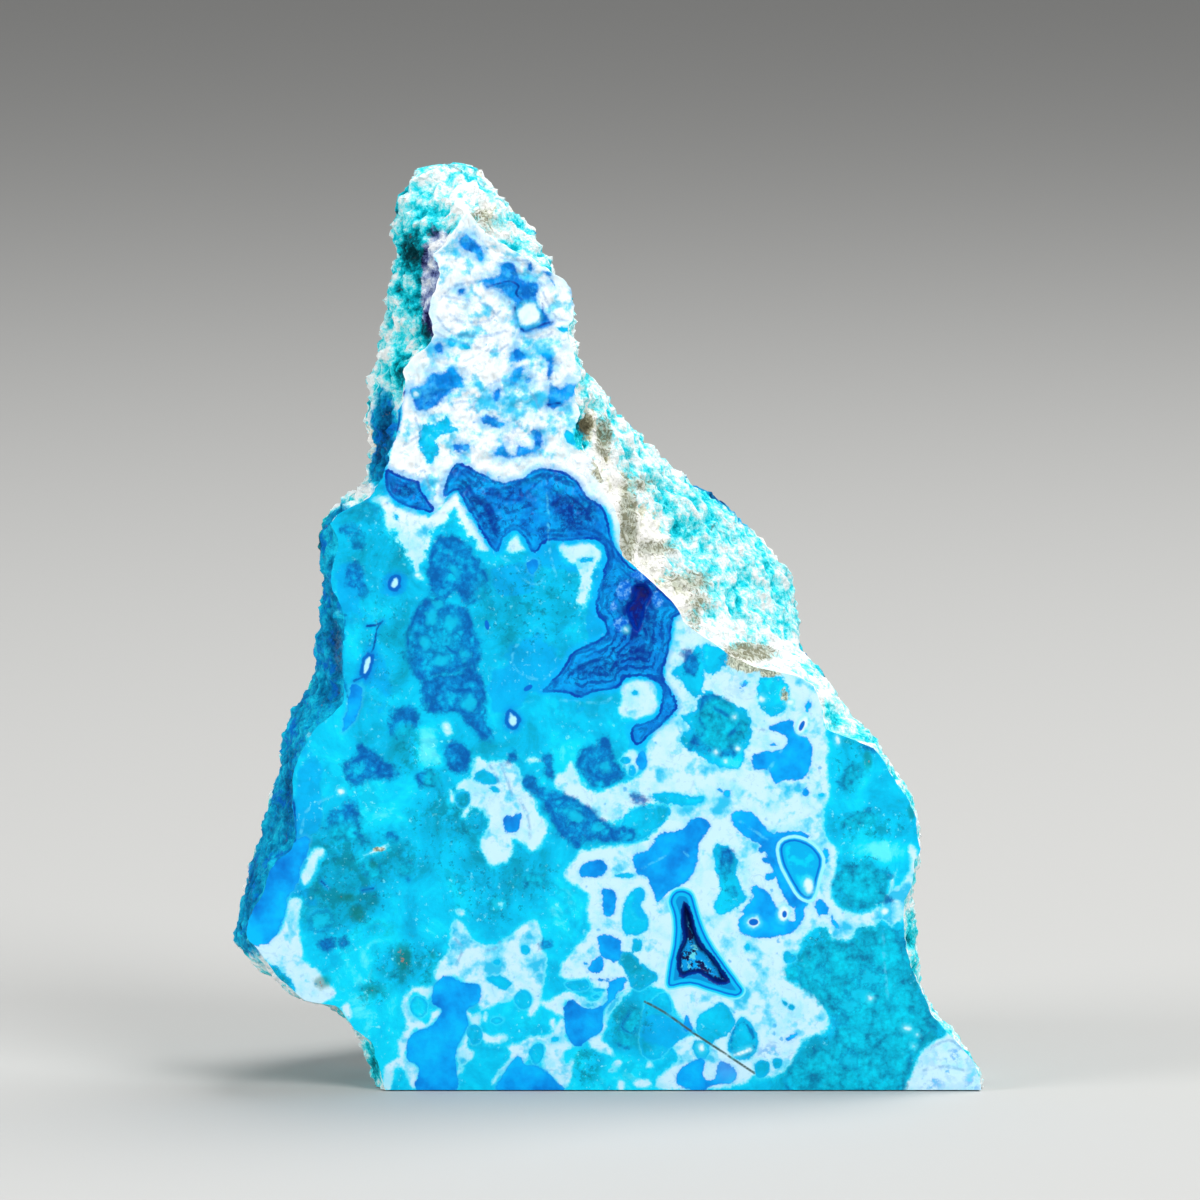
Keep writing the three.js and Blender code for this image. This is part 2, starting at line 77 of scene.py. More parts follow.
WHITE = [
    # crown, down to the navy wing
    [(463, 200), (450, 222), (442, 236), (432, 243), (426, 252), (430, 262), (432, 271), (428, 283),
     (424, 294), (421, 302), (420, 315), (422, 330), (426, 340), (420, 347), (406, 357), (399, 372),
     (402, 386), (402, 398), (400, 425), (393, 441), (389, 458), (388, 476), (404, 484), (414, 490),
     (421, 502), (434, 514), (446, 500), (452, 484), (460, 474), (478, 480), (492, 486), (504, 489),
     (516, 486), (530, 480), (545, 476), (560, 480), (572, 488), (582, 497), (592, 504), (604, 506),
     (613, 522), (616, 546), (626, 552), (624, 520), (616, 490), (602, 455), (580, 450), (572, 440),
     (580, 420), (590, 408), (580, 396), (588, 382), (582, 355), (574, 338), (578, 318), (580, 300),
     (572, 285), (560, 266), (540, 258), (520, 246), (500, 236), (480, 222), (470, 208)],
    # serrated band under the left end of the navy wing
    [(374, 500), (381, 495), (390, 497), (396, 506), (412, 508), (424, 516), (436, 511), (446, 501),
     (455, 492), (461, 500), (469, 514), (477, 527), (483, 539), (489, 551), (478, 549), (479, 542),
     (467, 535), (460, 525), (454, 508), (445, 521), (432, 533), (428, 546), (424, 556), (419, 567),
     (416, 572), (412, 563), (406, 554), (403, 545), (393, 542), (398, 532), (388, 531), (387, 521),
     (384, 508)],
    # hook
    [(561, 545), (572, 545), (590, 543), (600, 551), (600, 561), (594, 570), (591, 585), (586, 602),
     (581, 608), (577, 598), (580, 582), (578, 566), (569, 561), (563, 554)],
    [(507, 549), (512, 538), (517, 535), (521, 542), (523, 549), (515, 552)],
    # eye with six sides
    [(624, 684), (638, 680), (654, 684), (657, 697), (658, 707), (649, 715), (636, 719), (622, 716),
     (618, 709), (622, 700), (622, 690)],
    # network of the right half
    [(684, 612), (675, 621), (674, 638), (668, 653), (665, 668), (667, 684), (677, 699), (677, 710),
     (667, 723), (652, 736), (646, 749), (647, 766), (638, 777), (619, 785), (598, 793), (585, 786),
     (577, 774), (570, 760), (565, 771), (556, 776), (556, 788), (564, 793), (580, 803), (594, 813),
     (607, 823), (622, 820), (636, 808), (650, 805), (667, 804), (668, 816), (655, 831), (640, 843),
     (618, 846), (596, 849), (580, 853), (570, 865), (563, 877), (576, 886), (589, 896), (587, 912),
     (590, 930), (577, 948), (562, 965), (561, 977), (575, 981), (588, 978), (594, 989), (606, 993),
     (600, 1003), (612, 1001), (628, 990), (650, 987), (668, 994), (674, 1008), (684, 1022), (700, 1036),
     (686, 1037), (672, 1044), (680, 1060), (668, 1070), (656, 1088), (680, 1092), (726, 1090), (748, 1083),
     (756, 1077), (772, 1080), (790, 1067), (798, 1052), (806, 1040), (827, 1031), (828, 1015), (812, 995),
     (790, 983), (785, 969), (798, 951), (806, 936), (822, 926), (834, 938), (848, 940), (860, 929),
     (874, 925), (888, 914), (880, 908), (866, 914), (850, 914), (836, 906), (831, 888), (836, 868),
     (838, 852), (829, 842), (824, 828), (824, 812), (830, 795), (827, 775), (828, 748), (825, 728),
     (825, 705), (832, 696), (812, 672), (795, 660), (765, 666), (750, 656), (725, 638), (700, 626)],
    # star left of the middle
    [(476, 758), (486, 762), (502, 761), (510, 762), (521, 773), (521, 788), (533, 798), (540, 815),
     (548, 828), (541, 843), (532, 851), (523, 843), (512, 840), (513, 851), (504, 863), (492, 865),
     (483, 855), (480, 843), (487, 830), (488, 820), (480, 808), (472, 808), (465, 816), (462, 812),
     (468, 802), (466, 793), (458, 788), (460, 782), (470, 776)],
    # lower left edge: slot and lobe
    [(322, 849), (312, 851), (307, 862), (300, 877), (304, 886), (312, 876), (317, 861), (323, 854)],
    [(289, 899), (299, 900), (300, 912), (297, 930), (302, 948), (302, 961), (317, 971), (324, 983),
     (336, 995), (318, 1006), (300, 1008), (280, 985), (262, 962), (240, 948), (262, 939), (278, 934),
     (286, 915)],
    # patch below the middle
    [(452, 924), (460, 922), (468, 935), (480, 945), (500, 944), (514, 933), (530, 922), (540, 927),
     (541, 948), (547, 960), (543, 983), (538, 1008), (531, 1020), (528, 1012), (532, 1000), (524, 991),
     (510, 1001), (494, 1006), (482, 1011), (477, 1004), (480, 987), (466, 984), (452, 976), (438, 983),
     (434, 974), (441, 962), (449, 948)],
    # collar and foot at the lower left
    [(412, 988), (422, 989), (434, 990), (427, 1001), (415, 993), (408, 1003), (413, 1017), (425, 1026),
     (432, 1014), (441, 1011), (433, 1023), (424, 1030), (413, 1032), (407, 1046), (405, 1061), (418, 1070),
     (415, 1088), (410, 1088), (404, 1072), (394, 1070), (390, 1090), (382, 1090), (384, 1068), (398, 1058),
     (398, 1042), (406, 1028), (401, 1006)],
    [(466, 1012), (472, 1017), (480, 1014), (480, 1026), (472, 1027), (468, 1020)],
    [(480, 1033), (492, 1038), (504, 1036), (507, 1041), (490, 1046), (484, 1043)],
    [(466, 1036), (460, 1047), (454, 1056), (458, 1066), (453, 1080), (460, 1075), (466, 1065), (474, 1055),
     (466, 1049), (469, 1040)],
    # branch above the bottom edge
    [(508, 1048), (520, 1045), (530, 1038), (550, 1037), (560, 1021), (566, 1026), (565, 1038), (573, 1048),
     (562, 1056), (566, 1066), (574, 1062), (568, 1085), (560, 1091), (553, 1079), (542, 1067), (545, 1050),
     (538, 1043), (530, 1052), (523, 1067), (516, 1059), (504, 1073), (492, 1086), (497, 1074),
     (510, 1060)],
    # thin loops round the two low blue patches
    [(541, 1004), (552, 1000), (568, 993), (580, 998), (597, 1003), (606, 992), (603, 1005), (592, 1011),
     (578, 1009), (570, 1001), (563, 1006), (564, 1018), (552, 1013)],
    [(632, 988), (616, 998), (606, 1012), (600, 1034), (588, 1038), (590, 1047), (600, 1054), (613, 1058),
     (610, 1049), (602, 1041), (608, 1022), (616, 1006), (628, 996)],
    # right edge
    [(884, 903), (893, 890), (905, 882), (912, 862), (908, 848), (918, 850), (917, 880), (914, 905),
     (906, 918), (892, 926), (882, 918)],
    # lower right corner
    [(940, 1022), (950, 1032), (941, 1040), (926, 1050), (918, 1064), (912, 1080), (910, 1098), (992, 1098),
     (992, 1080), (970, 1040)],
]
WHITE_OVALS = [
    (692, 679, 7, 5, 20), (421, 578, 3, 2, 0), (447, 728, 5, 7, -20), (451, 797, 2, 6, -10),
    (533, 760, 7, 2.5, 0), (460, 913, 4, 3, 0), (573, 988, 6, 3, 0), (553, 1026, 3, 6, 0),
    (650, 1067, 4, 3, -30), (617, 1065, 4, 2.5, -30), (612, 1072, 3, 2, 0), (346, 1012, 4, 8, -20),
    (632, 762, 9, 12, 0), (643, 1085, 9, 4, 0), (621, 1087, 4, 5, 0), (376, 851, 11, 1.5, -25),
    (485, 1019, 1.5, 6, 0), (892, 890, 1.5, 14, 10), (500, 905, 3, 2, 0), (860, 705, 3, 8, -30),
]

# Turquoise lakes in the white.
LAKES = [
    [(423, 423), (434, 424), (443, 418), (447, 414), (452, 424), (463, 430), (452, 433), (438, 440),
     (437, 455), (431, 465), (422, 454), (420, 443), (421, 430)],
    [(473, 776), (480, 771), (488, 771), (498, 780), (494, 785), (476, 782)],
    [(699, 645), (690, 655), (679, 666), (672, 674), (682, 681), (688, 692), (699, 698), (704, 684),
     (704, 665)],
    [(703, 645), (715, 646), (728, 648), (733, 663), (720, 669), (710, 676), (704, 668)],
    [(680, 716), (690, 714), (697, 705), (702, 692), (715, 694), (733, 704), (745, 710), (752, 722),
     (752, 738), (745, 752), (742, 766), (728, 770), (708, 762), (699, 755), (688, 750), (680, 737),
     (690, 728)],
    [(757, 686), (764, 676), (778, 676), (790, 690), (784, 712), (770, 716), (760, 708)],
    [(622, 822), (634, 809), (650, 807), (668, 806), (668, 817), (655, 831), (636, 843), (622, 842)],
    [(630, 893), (641, 888), (646, 896), (642, 907), (649, 922), (646, 932), (636, 936), (624, 934),
     (622, 912)],
    [(716, 844), (730, 848), (738, 860), (737, 878), (746, 897), (739, 908), (720, 916), (714, 904),
     (720, 890), (717, 872), (713, 856)],
    [(621, 953), (633, 954), (640, 963), (655, 973), (657, 982), (648, 988), (637, 991), (629, 985),
     (625, 972), (618, 962)],
    [(485, 978), (500, 977), (511, 984), (506, 992), (495, 987)],
    [(701, 1015), (713, 1008), (722, 1003), (732, 1015), (736, 1024), (728, 1036), (717, 1041), (711, 1047),
     (697, 1034), (697, 1022)],
    [(742, 1018), (754, 1028), (759, 1042), (754, 1057), (741, 1063), (730, 1055), (728, 1044),
     (735, 1028)],
    [(645, 1006), (660, 1008), (680, 1022), (691, 1034), (680, 1043), (668, 1052), (655, 1062),
     (640, 1050)],
    [(652, 1002), (665, 994), (672, 1004), (671, 1015), (660, 1010)],
    [(529, 1055), (533, 1046), (543, 1046), (543, 1058), (535, 1067)],
    [(466, 1033), (472, 1026), (481, 1030), (481, 1041), (472, 1047)],
    [(755, 1065), (763, 1061), (770, 1066), (768, 1078), (757, 1079)],
    [(692, 1045), (700, 1041), (710, 1048), (707, 1060), (697, 1061)],
    [(783, 955), (790, 952), (797, 957), (794, 964), (785, 963)],
    [(648, 796), (665, 792), (690, 796), (704, 797), (702, 804), (680, 806), (660, 803)],
    [(566, 984), (584, 981), (590, 988), (580, 993), (568, 990)],
    [(240, 948), (262, 960), (280, 970), (294, 986), (290, 996), (268, 984), (248, 964)],
]
LAKE_OVALS = [
    (463, 800, 8, 9, 0), (525, 951, 5, 5, 0), (496, 963, 4, 3, 0), (523, 1001, 9, 10, 0),
    (555, 1041, 4, 3, 0), (637, 946, 5, 7, 0), (778, 1065, 5, 6, 0), (418, 1008, 9, 11, 0),
    (635, 693, 3.5, 3, 40), (396, 516, 3.5, 2.5, 0), (586, 560, 7, 2.5, -10), (452, 343, 3, 4, 0),
    (467, 347, 5, 2.5, 20), (626, 761, 5, 4, 0), (632, 771, 4, 6, 0), (785, 1004, 4, 2, 40),
    (792, 1008, 3, 3, 0), (596, 998, 4, 1.5, 0), (599, 991, 7, 1.5, 0), (822, 795, 3, 2, 0),
    (624, 876, 10, 2.5, 0), (773, 915, 3, 3.5, 0), (495, 790, 5, 3, 30), (745, 684, 4, 2, -30),
    (684, 860, 3, 3, 0), (566, 330, 9, 2.5, 5), (570, 438, 5, 8, -30), (590, 445, 6, 4, 0),
    (806, 905, 3, 3, 0), (497, 1022, 6, 4, 0), (610, 905, 3, 2, 0), (695, 716, 5, 4, 0),
    (748, 948, 3, 4, 0),
]

BLUE = [
    [(459, 243), (467, 235), (474, 241), (483, 250), (484, 259), (480, 263), (475, 254), (466, 252)],
    [(478, 281), (498, 276), (500, 265), (515, 264), (519, 278), (530, 283), (540, 283), (537, 294),
     (541, 310), (552, 323), (545, 329), (528, 332), (519, 331), (516, 320), (514, 304), (500, 291),
     (487, 288)],
    [(543, 272), (551, 273), (551, 278), (556, 288), (549, 280)],
    [(410, 388), (424, 384), (432, 373), (444, 374), (449, 367), (457, 369), (463, 381), (464, 388),
     (452, 390), (443, 400), (433, 408), (420, 411), (414, 402)],
    [(509, 360), (515, 348), (526, 355), (521, 361), (513, 364)],
    [(513, 370), (524, 366), (524, 373), (520, 380), (511, 384)],
    [(537, 352), (542, 353), (549, 352), (555, 363), (550, 380), (560, 389), (567, 384), (580, 386),
     (571, 399), (556, 408), (546, 407), (549, 393), (547, 376), (547, 362)],
    [(482, 422), (487, 416), (498, 419), (505, 425), (496, 428)],
    [(493, 455), (504, 444), (509, 456), (516, 455), (518, 444), (531, 449), (535, 442), (532, 432),
     (540, 431), (543, 440), (537, 452), (510, 458)],
    [(527, 563), (533, 559), (538, 563), (534, 574), (528, 572)],
    [(350, 688), (356, 683), (362, 691), (360, 707), (352, 724), (341, 733), (346, 712)],
    [(308, 838), (296, 840), (270, 868), (250, 905), (236, 940), (262, 946), (276, 936), (284, 915),
     (288, 897), (298, 883), (300, 868), (308, 850)],
    [(503, 819), (514, 816), (522, 812), (519, 829), (507, 834)],
    [(769, 729), (780, 722), (793, 721), (796, 733), (811, 741), (812, 764), (803, 779), (786, 780),
     (776, 784), (767, 771), (755, 770), (752, 757), (764, 752), (783, 749), (788, 739), (779, 733)],
    [(658, 835), (668, 832), (682, 830), (696, 817), (711, 825), (700, 843), (697, 864), (689, 881),
     (672, 891), (658, 903), (652, 889), (646, 878), (636, 874), (633, 855), (648, 851)],
    [(730, 815), (751, 812), (762, 823), (773, 833), (795, 831), (812, 837), (790, 842), (782, 849),
     (785, 864), (794, 886), (802, 902), (794, 910), (782, 893), (772, 869), (761, 846), (743, 836)],
    [(581, 877), (584, 864), (600, 861), (608, 867), (601, 877)],
    [(603, 890), (616, 893), (614, 916), (604, 915), (602, 902)],
    [(752, 887), (762, 888), (773, 900), (782, 916), (795, 922), (795, 903), (806, 902), (803, 922),
     (790, 935), (778, 938), (758, 939), (748, 937), (739, 931), (742, 914), (752, 900)],
    [(815, 902), (824, 902), (831, 914), (819, 916)],
    [(435, 984), (447, 977), (462, 984), (479, 986), (479, 1004), (466, 1012), (468, 1026), (460, 1042),
     (455, 1058), (456, 1092), (416, 1092), (418, 1070), (406, 1060), (410, 1037), (432, 1026), (441, 1012),
     (430, 1004)],
    [(597, 939), (608, 935), (620, 941), (621, 955), (615, 963), (602, 957)],
    [(592, 962), (600, 957), (604, 966), (600, 975), (588, 971)],
    [(609, 983), (624, 978), (626, 985), (613, 1002), (603, 1012), (602, 1032), (588, 1042), (577, 1048),
     (567, 1038), (564, 1010), (573, 1001), (584, 1009), (605, 1006)],
    [(517, 1058), (526, 1067), (538, 1068), (560, 1086), (560, 1094), (498, 1094), (503, 1076)],
    [(677, 1075), (690, 1064), (705, 1060), (704, 1078), (714, 1081), (721, 1063), (736, 1072), (734, 1084),
     (715, 1087), (700, 1094), (680, 1088)],
    [(683, 1030), (687, 1017), (693, 1029), (690, 1034)],
    [(638, 754), (644, 750), (647, 766), (640, 771), (636, 762)],
]
BLUE_OVALS = [
    (530, 268, 3.5, 5, 0), (529, 379, 3.5, 3.5, 0), (462, 447, 8, 4, 0), (462, 292, 4, 3, 0),
    (439, 349, 4, 6, -20), (497, 396, 4, 7, 20), (727, 794, 4, 4, 0), (721, 791, 3, 1.5, 20),
    (806, 792, 3.5, 4, 0), (772, 877, 6, 4, -20), (762, 850, 4, 3, 30), (766, 861, 3, 3, 0),
    (826, 853, 3, 5, -20), (827, 862, 2, 2, 0), (792, 1039, 7, 2.5, -30), (586, 965, 2.5, 2, 0),
    (742, 687, 5, 2, -35), (604, 981, 6, 1, 0), (773, 745, 4, 1.5, 0), (808, 706, 3, 6, 10),
    (836, 924, 2, 9, -30), (575, 1010, 3, 3, 0),
]

NAVY = [
    [(386, 470), (396, 473), (407, 478), (418, 481), (422, 492), (434, 508), (430, 513), (418, 510),
     (398, 503), (387, 490)],
    [(442, 495), (447, 478), (455, 465), (465, 465), (486, 476), (504, 482), (522, 478), (542, 468),
     (565, 473), (579, 482), (586, 496), (600, 505), (608, 520), (614, 545), (630, 566), (650, 578),
     (662, 592), (675, 602), (685, 612), (674, 618), (671, 632), (670, 645), (665, 665), (663, 678),
     (675, 698), (673, 714), (655, 730), (644, 741), (635, 745), (631, 728), (646, 722), (659, 713),
     (661, 688), (645, 677), (626, 678), (618, 688), (598, 691), (580, 697), (560, 692), (542, 692),
     (553, 680), (567, 662), (573, 651), (600, 639), (607, 628), (596, 611), (599, 590), (606, 562),
     (603, 545), (590, 539), (566, 541), (547, 541), (535, 553), (524, 538), (515, 530), (504, 538),
     (497, 552), (487, 541), (470, 513), (458, 491), (448, 496)],
]

# Mottled dark clouds, and bright cells in them.
CLOUDS = [
    [(432, 543), (450, 536), (468, 545), (480, 560), (488, 580), (480, 594), (466, 602), (456, 592),
     (446, 602), (434, 600), (430, 580)],
    [(430, 598), (418, 608), (408, 625), (405, 645), (408, 665), (420, 682), (436, 676), (458, 674),
     (474, 664), (482, 648), (474, 632), (468, 612), (452, 604)],
    [(420, 682), (440, 674), (458, 672), (466, 660), (476, 668), (484, 690), (484, 712), (492, 738),
     (474, 733), (455, 712), (440, 716), (425, 705)],
    [(583, 748), (596, 746), (603, 738), (611, 745), (615, 760), (627, 774), (612, 782), (594, 783),
     (581, 772), (578, 760)],
    [(521, 782), (533, 776), (545, 790), (562, 795), (580, 803), (596, 816), (612, 828), (632, 828),
     (634, 838), (606, 842), (584, 842), (578, 848), (562, 838), (550, 822), (543, 803)],
    [(700, 698), (715, 697), (730, 704), (736, 718), (747, 724), (740, 737), (730, 742), (740, 754),
     (722, 755), (700, 748), (690, 740), (698, 722)],
    [(340, 765), (352, 757), (362, 746), (375, 752), (384, 762), (400, 770), (392, 780), (370, 782),
     (352, 787)],
    [(326, 830), (334, 812), (348, 803), (357, 812), (360, 832), (368, 842), (345, 844), (328, 842)],
    [(806, 955), (830, 942), (850, 946), (872, 936), (896, 930), (908, 960), (912, 985), (930, 1010),
     (935, 1032), (915, 1055), (905, 1092), (880, 1096), (830, 1096), (800, 1096), (785, 1085), (800, 1060),
     (832, 1045), (838, 1020), (822, 1005), (800, 985)],
    [(836, 872), (845, 862), (856, 868), (868, 859), (880, 868), (891, 876), (884, 888), (890, 900),
     (874, 903), (860, 911), (850, 904), (842, 896), (832, 886)],
    [(616, 1024), (630, 1011), (640, 1014), (641, 1030), (630, 1038), (620, 1034)],
    [(441, 748), (456, 742), (468, 752), (466, 772), (450, 770)],
    [(392, 712), (404, 706), (415, 712), (416, 730), (402, 738), (390, 730)],
    [(686, 650), (695, 652), (700, 664), (694, 674), (684, 668)],
]
CLOUD_OVALS = [
    (358, 540, 11, 7, 25), (350, 530, 8, 6, 0), (354, 575, 6, 14, 0), (362, 590, 6, 8, 0),
    (727, 855, 6, 6, 0), (726, 868, 5, 10, 0), (731, 892, 4, 4, 0), (426, 778, 12, 8, 0),
    (535, 880, 12, 8, 0), (793, 975, 8, 8, 0), (487, 733, 5, 8, 0), (391, 839, 7, 4, 0),
    (326, 945, 7, 6, 0), (345, 944, 4, 5, 0), (372, 870, 9, 11, 0), (845, 985, 22, 16, 20),
    (815, 970, 12, 18, 0), (722, 660, 4, 4, 0), (405, 870, 9, 8, 0), (548, 765, 5, 12, 0),
    (513, 757, 6, 6, 0), (410, 880, 5, 4, 0), (545, 945, 6, 5, 0), (625, 1045, 8, 6, 0),
    (862, 820, 20, 8, -10), (850, 775, 8, 14, 30), (640, 800, 8, 5, 0), (870, 740, 8, 12, -30),
]
CELLS = [
    (432, 618, 8, 9, 0), (452, 622, 9, 7, 0), (424, 645, 7, 9, 0), (440, 662, 9, 6, 0), (464, 654, 7, 7, 0),
    (446, 642, 5, 5, 0), (438, 603, 7, 6, 0), (470, 703, 10, 9, 0), (604, 767, 8, 6, 0),
    (358, 768, 8, 5, -20), (870, 980, 11, 10, 0), (862, 996, 9, 9, 0), (850, 1006, 9, 6, 0),
    (573, 815, 13, 8, 20), (598, 830, 9, 5, 0), (320, 922, 10, 9, 0), (850, 1062, 8, 6, 0),
    (455, 570, 5, 5, 0), (427, 704, 5, 5, 0), (840, 1020, 6, 5, 0), (822, 975, 5, 5, 0),
]

POCKET = [
    (674, 891), (684, 889), (694, 895), (700, 915), (709, 938), (727, 965), (741, 984), (745, 993),
    (736, 1000), (713, 994), (690, 987), (668, 990), (667, 972), (672, 946), (673, 920), (668, 902),
]
POCKET_CORE = [
    (684, 903), (691, 913), (695, 928), (701, 944), (713, 957), (723, 972), (729, 983), (718, 985),
    (706, 978), (695, 974), (680, 977), (678, 955), (684, 941), (682, 920),
]
VUG = [
    (634, 585), (647, 585), (652, 596), (646, 608), (643, 623), (637, 632), (629, 620), (626, 607),
    (633, 596),
]
SHIELD = [
    (781, 845), (795, 839), (812, 846), (822, 860), (818, 880), (812, 899), (801, 896), (791, 881),
    (782, 862),
]
# Blue grains with pale rims round the vug.
BERRIES = [
    (624, 590, 7, 11, 20), (657, 599, 5, 9, 0), (621, 624, 7, 7, 0), (640, 576, 10, 4, 15),
    (613, 606, 4, 5, 0),
]
# Pearls with a navy ring, and plain pearls.
EYES = [(395, 583, 3, 5, 10), (367, 665, 2.4, 9, 18)]
DROPS = [[(510, 713), (517, 719), (514, 726), (509, 723)]]
PEARLS = [
    (340, 792, 3, 2, 20), (446, 726, 1.6, 3.5, -20), (871, 1000, 2.5, 2, 0), (908, 1030, 3.5, 2, 20),
    (918, 1036, 1.5, 1.2, 0), (915, 1048, 1.4, 1.6, 0), (626, 629, 2, 2, 0), (885, 912, 3, 3, 0),
    (761, 699, 3, 3, 0), (735, 717, 1.5, 1.5, 0), (716, 752, 2, 2, 0), (726, 762, 2, 2, 0),
    (738, 748, 2, 2, 0), (843, 715, 2, 5, 0), (858, 728, 2, 3, 0), (838, 740, 2, 4, 0),
    (743, 1054, 9, 2, -20), (754, 923, 6.5, 5, 0), (784, 914, 5, 8, 10), (416, 394, 2, 2, 0),
    (702, 1050, 3, 4, 0), (803, 725, 4.5, 9, 25), (809, 887, 4.5, 8, -15), (418, 575, 2, 2, 0),
    (790, 702, 3, 2, 0),
]
PEARL_SHAPES = [
    [(521, 308), (527, 303), (535, 305), (540, 313), (538, 322), (529, 326), (522, 325), (518, 317)],
]
# Blue spots, most of them in the middle of a pearl.
CENTRES = [
    (487, 625, 2.2, 5, -10), (528, 688, 5, 2.4, -30), (754, 923, 4.8, 3.4, 0), (785, 915, 2.4, 3.5, 0),
    (802, 726, 2.2, 5.5, 25),
]

# Open lines: navy ink, strokes of the wing, dark blue loops, pale veins, grey fibres and the crack.
INK = [
    [(383, 621), (377, 629), (374, 646), (371, 653)],
    [(363, 677), (354, 681)],
    [(367, 626), (376, 625), (383, 621)],
    [(362, 891), (373, 889)],
    [(321, 882), (327, 888)],
    [(405, 392), (401, 405), (399, 424), (394, 438), (389, 447)],
    [(293, 800), (295, 825), (294, 842)],
    [(487, 288), (500, 284), (511, 282), (519, 287), (516, 294), (522, 300), (525, 305), (520, 303)],
    [(515, 308), (518, 322), (524, 331), (534, 329), (545, 324), (553, 323)],
    [(548, 405), (560, 403)],
]
# Dark strokes in the navy wing.
STROKES = [
    [(456, 469), (449, 478), (446, 490)],
    [(461, 471), (470, 482), (482, 488), (500, 489), (515, 485), (530, 479), (543, 476)],
    [(462, 480), (472, 492), (480, 503)],
    [(486, 494), (497, 494), (505, 499), (520, 500)],
    [(477, 498), (486, 508), (491, 520), (496, 534)],
    [(484, 500), (493, 512), (496, 524)],
    [(526, 494), (533, 488), (540, 481), (548, 477)],
    [(506, 512), (518, 510), (530, 505)],
    [(556, 478), (572, 486), (580, 496), (590, 503)],
    [(540, 529), (560, 531), (580, 528), (598, 533), (610, 543), (614, 558)],
    [(546, 535), (566, 536), (588, 535), (604, 543), (609, 558), (606, 574), (602, 590)],
    [(552, 505), (562, 498), (574, 500), (584, 508), (590, 518)],
    [(600, 612), (606, 624), (606, 634), (594, 642), (576, 652), (562, 668)],
    [(574, 672), (586, 664), (600, 660), (612, 664), (624, 656), (636, 650), (646, 644)],
    [(648, 628), (652, 640), (646, 652), (634, 660)],
]
LOOPS = [
    [(541, 297), (543, 310), (540, 320), (547, 320), (551, 325)],
    [(434, 548), (430, 570), (432, 590), (419, 608), (410, 630), (408, 648), (413, 663), (424, 680),
     (428, 692), (426, 704), (438, 712)],
    [(484, 572), (488, 588), (478, 598), (466, 607), (470, 622), (462, 637)],
    [(474, 664), (477, 680), (485, 697), (485, 712), (477, 727), (490, 742)],
    [(446, 641), (455, 633), (463, 643), (455, 652), (446, 647)],
    [(460, 690), (472, 691), (479, 703), (470, 714), (460, 708), (458, 697)],
    [(584, 750), (579, 764), (585, 778), (600, 787), (616, 781)],
    [(592, 754), (588, 765), (593, 775), (605, 779), (615, 775)],
    [(601, 747), (605, 738), (610, 748)],
    [(553, 800), (568, 798), (585, 807), (600, 819), (611, 829), (612, 836)],
    [(545, 800), (553, 812), (556, 824), (567, 834), (578, 845)],
    [(611, 833), (623, 832), (634, 832), (632, 840), (618, 841), (611, 836)],
    [(565, 808), (578, 811), (588, 818)],
    [(704, 700), (699, 716), (705, 730), (696, 741), (690, 750)],
    [(714, 708), (728, 716), (738, 724), (730, 735)],
    [(345, 772), (352, 781), (366, 779), (380, 768), (374, 756), (362, 757), (350, 764)],
    [(350, 806), (344, 818), (350, 830), (362, 838)],
    [(345, 614), (343, 640), (341, 668), (346, 690), (348, 706)],
    [(735, 1030), (732, 1046), (740, 1058), (753, 1052), (754, 1038), (745, 1025), (735, 1030)],
    [(447, 748), (460, 744), (468, 756), (462, 768)],
    [(630, 1015), (622, 1028), (632, 1034), (638, 1024)],
]
VEINS = [
    [(547, 480), (548, 515), (549, 545), (553, 565), (556, 576)],
    [(500, 556), (515, 566), (524, 580), (538, 584), (545, 575)],
    [(640, 870), (655, 862), (680, 851), (690, 858)],
    [(884, 930), (885, 960), (889, 1000)],
    [(336, 795), (318, 803), (306, 812), (300, 834)],
    [(520, 640), (512, 655), (518, 672), (540, 680), (556, 668)],
    [(782, 750), (774, 762), (768, 772)],
    [(560, 700), (600, 703), (612, 698)],
    [(740, 822), (752, 830), (768, 840)],
]
FIBRES = [
    [(440, 300), (452, 288), (478, 283), (500, 292), (512, 305), (516, 325)],
    [(438, 318), (450, 332), (480, 337), (508, 331)],
    [(446, 297), (462, 300), (484, 304), (497, 316)],
    [(436, 333), (455, 342), (475, 345)],
    [(412, 412), (419, 426), (421, 437)],
    [(404, 446), (412, 440), (420, 436)],
    [(500, 258), (530, 262), (548, 262)],
    [(541, 286), (546, 300), (556, 318), (568, 322)],
    [(552, 333), (545, 337), (528, 338)],
    [(558, 262), (570, 288), (574, 310)],
    [(415, 480), (424, 470), (430, 490)],
    [(450, 315), (462, 322), (486, 322), (500, 312)],
    [(468, 345), (495, 352), (508, 345)],
    [(470, 410), (480, 396), (500, 380), (530, 392), (540, 410)],
    [(520, 400), (512, 415), (522, 428)],
    [(449, 405), (466, 402), (478, 412)],
    [(486, 952), (494, 950), (500, 943)],
    [(501, 765), (507, 780), (512, 796)],
    [(490, 766), (497, 778), (500, 790)],
    [(520, 800), (528, 818), (530, 838)],
    [(758, 728), (766, 731)],
    [(455, 940), (462, 950), (456, 965)],
    [(930, 1050), (950, 1042), (964, 1050)],
    [(925, 1072), (945, 1068), (965, 1072)],
]
CRACK = [[(645, 1003), (665, 1014), (693, 1034), (716, 1049), (740, 1065), (755, 1075)]]

